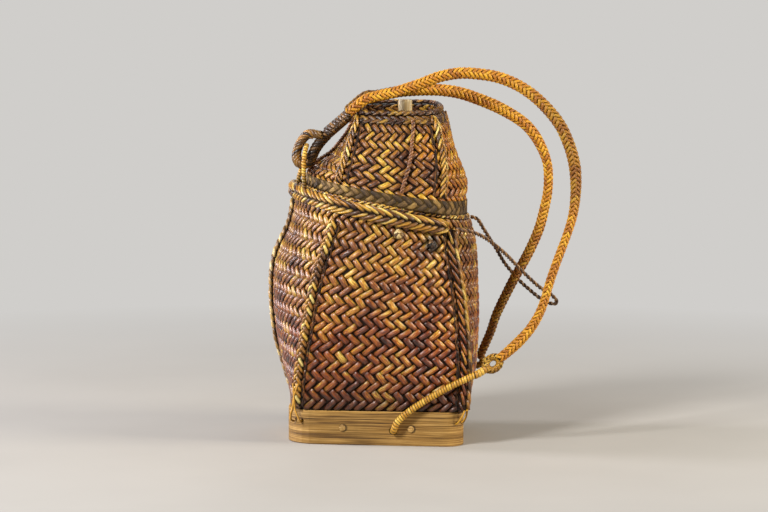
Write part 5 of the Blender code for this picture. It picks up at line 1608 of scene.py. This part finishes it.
def make_lid():
    skirt, lip = (wall_grid(*LID, shares, 120, outset)
                  for shares, outset in ((even(4, 0.915, 0.08), 0.0004), (even(4, 1.0, -0.085), -LID_WALL)))
    piece = joined(
        "plaited_lid", woven("lid weave", LID, even(30), 200, LID_STRAND_SHARE, lid_rattan),
        shell(LID, even(15), 80, -0.0019, -LID_WALL), laid("skirt", skirt, ring_rattan, AROUND),
        laid("lip", lip, ring_rattan, AROUND),
    )
    dress(piece, "lid", "dark rattan", "lid_wall")

    shares = even(6, 0, LID_BAND_SHARE)
    proud = FIT + LID_BAND_THICKNESS
    piece = joined(
        "lid_band_weave", laid("band", wall_grid(*LID, shares, 200, proud - 0.0012), band_rattan, AROUND),
        shell(LID, shares, 96, proud - 0.0014, FIT, olive_gap_shade),
    )
    dress(piece, "lid", "band rattan", "lid_band")

    for corner, corner_name in enumerate(CORNER_NAMES):
        frames = wall_frames(lid_place, corner, *LID_RIB_SHARES, 40)
        grid, core = flat_braid(frames, LID_RIB_WIDTH, LID_RIB_THICKNESS, LID_RIB_INSETS)
        # Painted shadow: dark strands in the groove beside the rib
        beside = corner + (1 - 2 * (corner % 2)) * LID_GROOVE_SHADOW_SHIFT
        groove = groove_shadow_strands(lid_place, beside, *LID_RIB_SHARES, LID_GROOVE_SHADOW_WIDTH, 30 + corner)
        piece = joined("lid_rib_plait_" + corner_name, laid("lid rib", grid, gold_rattan, seed=corner), core, groove)
        dress(piece, "lid", "golden rattan", "lid_rib_" + corner_name)

    for side, side_name in enumerate(("front", "right", "back", "left")):
        foot, top = LID_CORD_FOOT_SHARES[side], LID_CORD_TOP_SHARES[side]
        low, high = LID_CORD_SHARES
        places = []
        for part in even(30):
            centre, _, _, outward = frame_on(lid_place, side + foot + (top - foot) * part, low + (high - low) * part)
            places.append(centre + outward * (LID_CORD_RADIUS + FIT))
        piece = twist("lid_cord_twist_" + side_name, places, twist_rattan, "lid cord", side)
        dress(piece, "lid", "golden rattan", "lid_cord_" + side_name)

    face, core = (
        top_rows(LID, count, [(TOP_RING_OUT - TOP_RING_WALL * (1 - out), GAP + TOP_RING_HEIGHT * up)
                              for out, up in shares])
        for count, shares in ((160, RING_FACE_SHARES), (80, RING_CORE_SHARES))
    )
    piece = joined("top_ring_plait", laid("top ring", face, ring_rattan, AROUND), skin(core[:, :-1], closed=True))
    dress(piece, "lid", "golden rattan", "lid_top_ring")

    def panel_place(u):
        share = 1 - TOP_PANEL_DROP / (lid_place(u, 1.0).z - lid_place(u, 0.0).z)
        place = lid_place(u, share, -LID_WALL - FIT - GAP - 0.0004)
        return Vector((place.x, place.y, LID_TOP_HEIGHT + LID_TOP_SLOPE * place.y - TOP_PANEL_DROP))

    panel = laid("top panel", patch_grid(panel_place), ring_rattan)
    dress(joined("panel_plait", panel, solid_copy("lid_top_panel", painted_gap_shade)), "lid", "dark rattan", "lid_top_panel")


make_stage()
for lamp in LAMPS:
    soft_lamp(*lamp)
make_cords()
make_neck()
make_end_eyes()
make_base()
make_body()
make_lid()
pegs = ["hoop_peg_" + name for name in CORNER_NAMES]
for material, node_names in (
    (hoop_wood, ("base_hoop", "floor_batten_left", "floor_batten_right")), (knob_bamboo, ("lid_knob",)),
    (peg_wood, ("knob_pin", *pegs)),
):
    for node_name in node_names:
        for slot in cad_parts[node_name].material_slots:
            slot.material = material
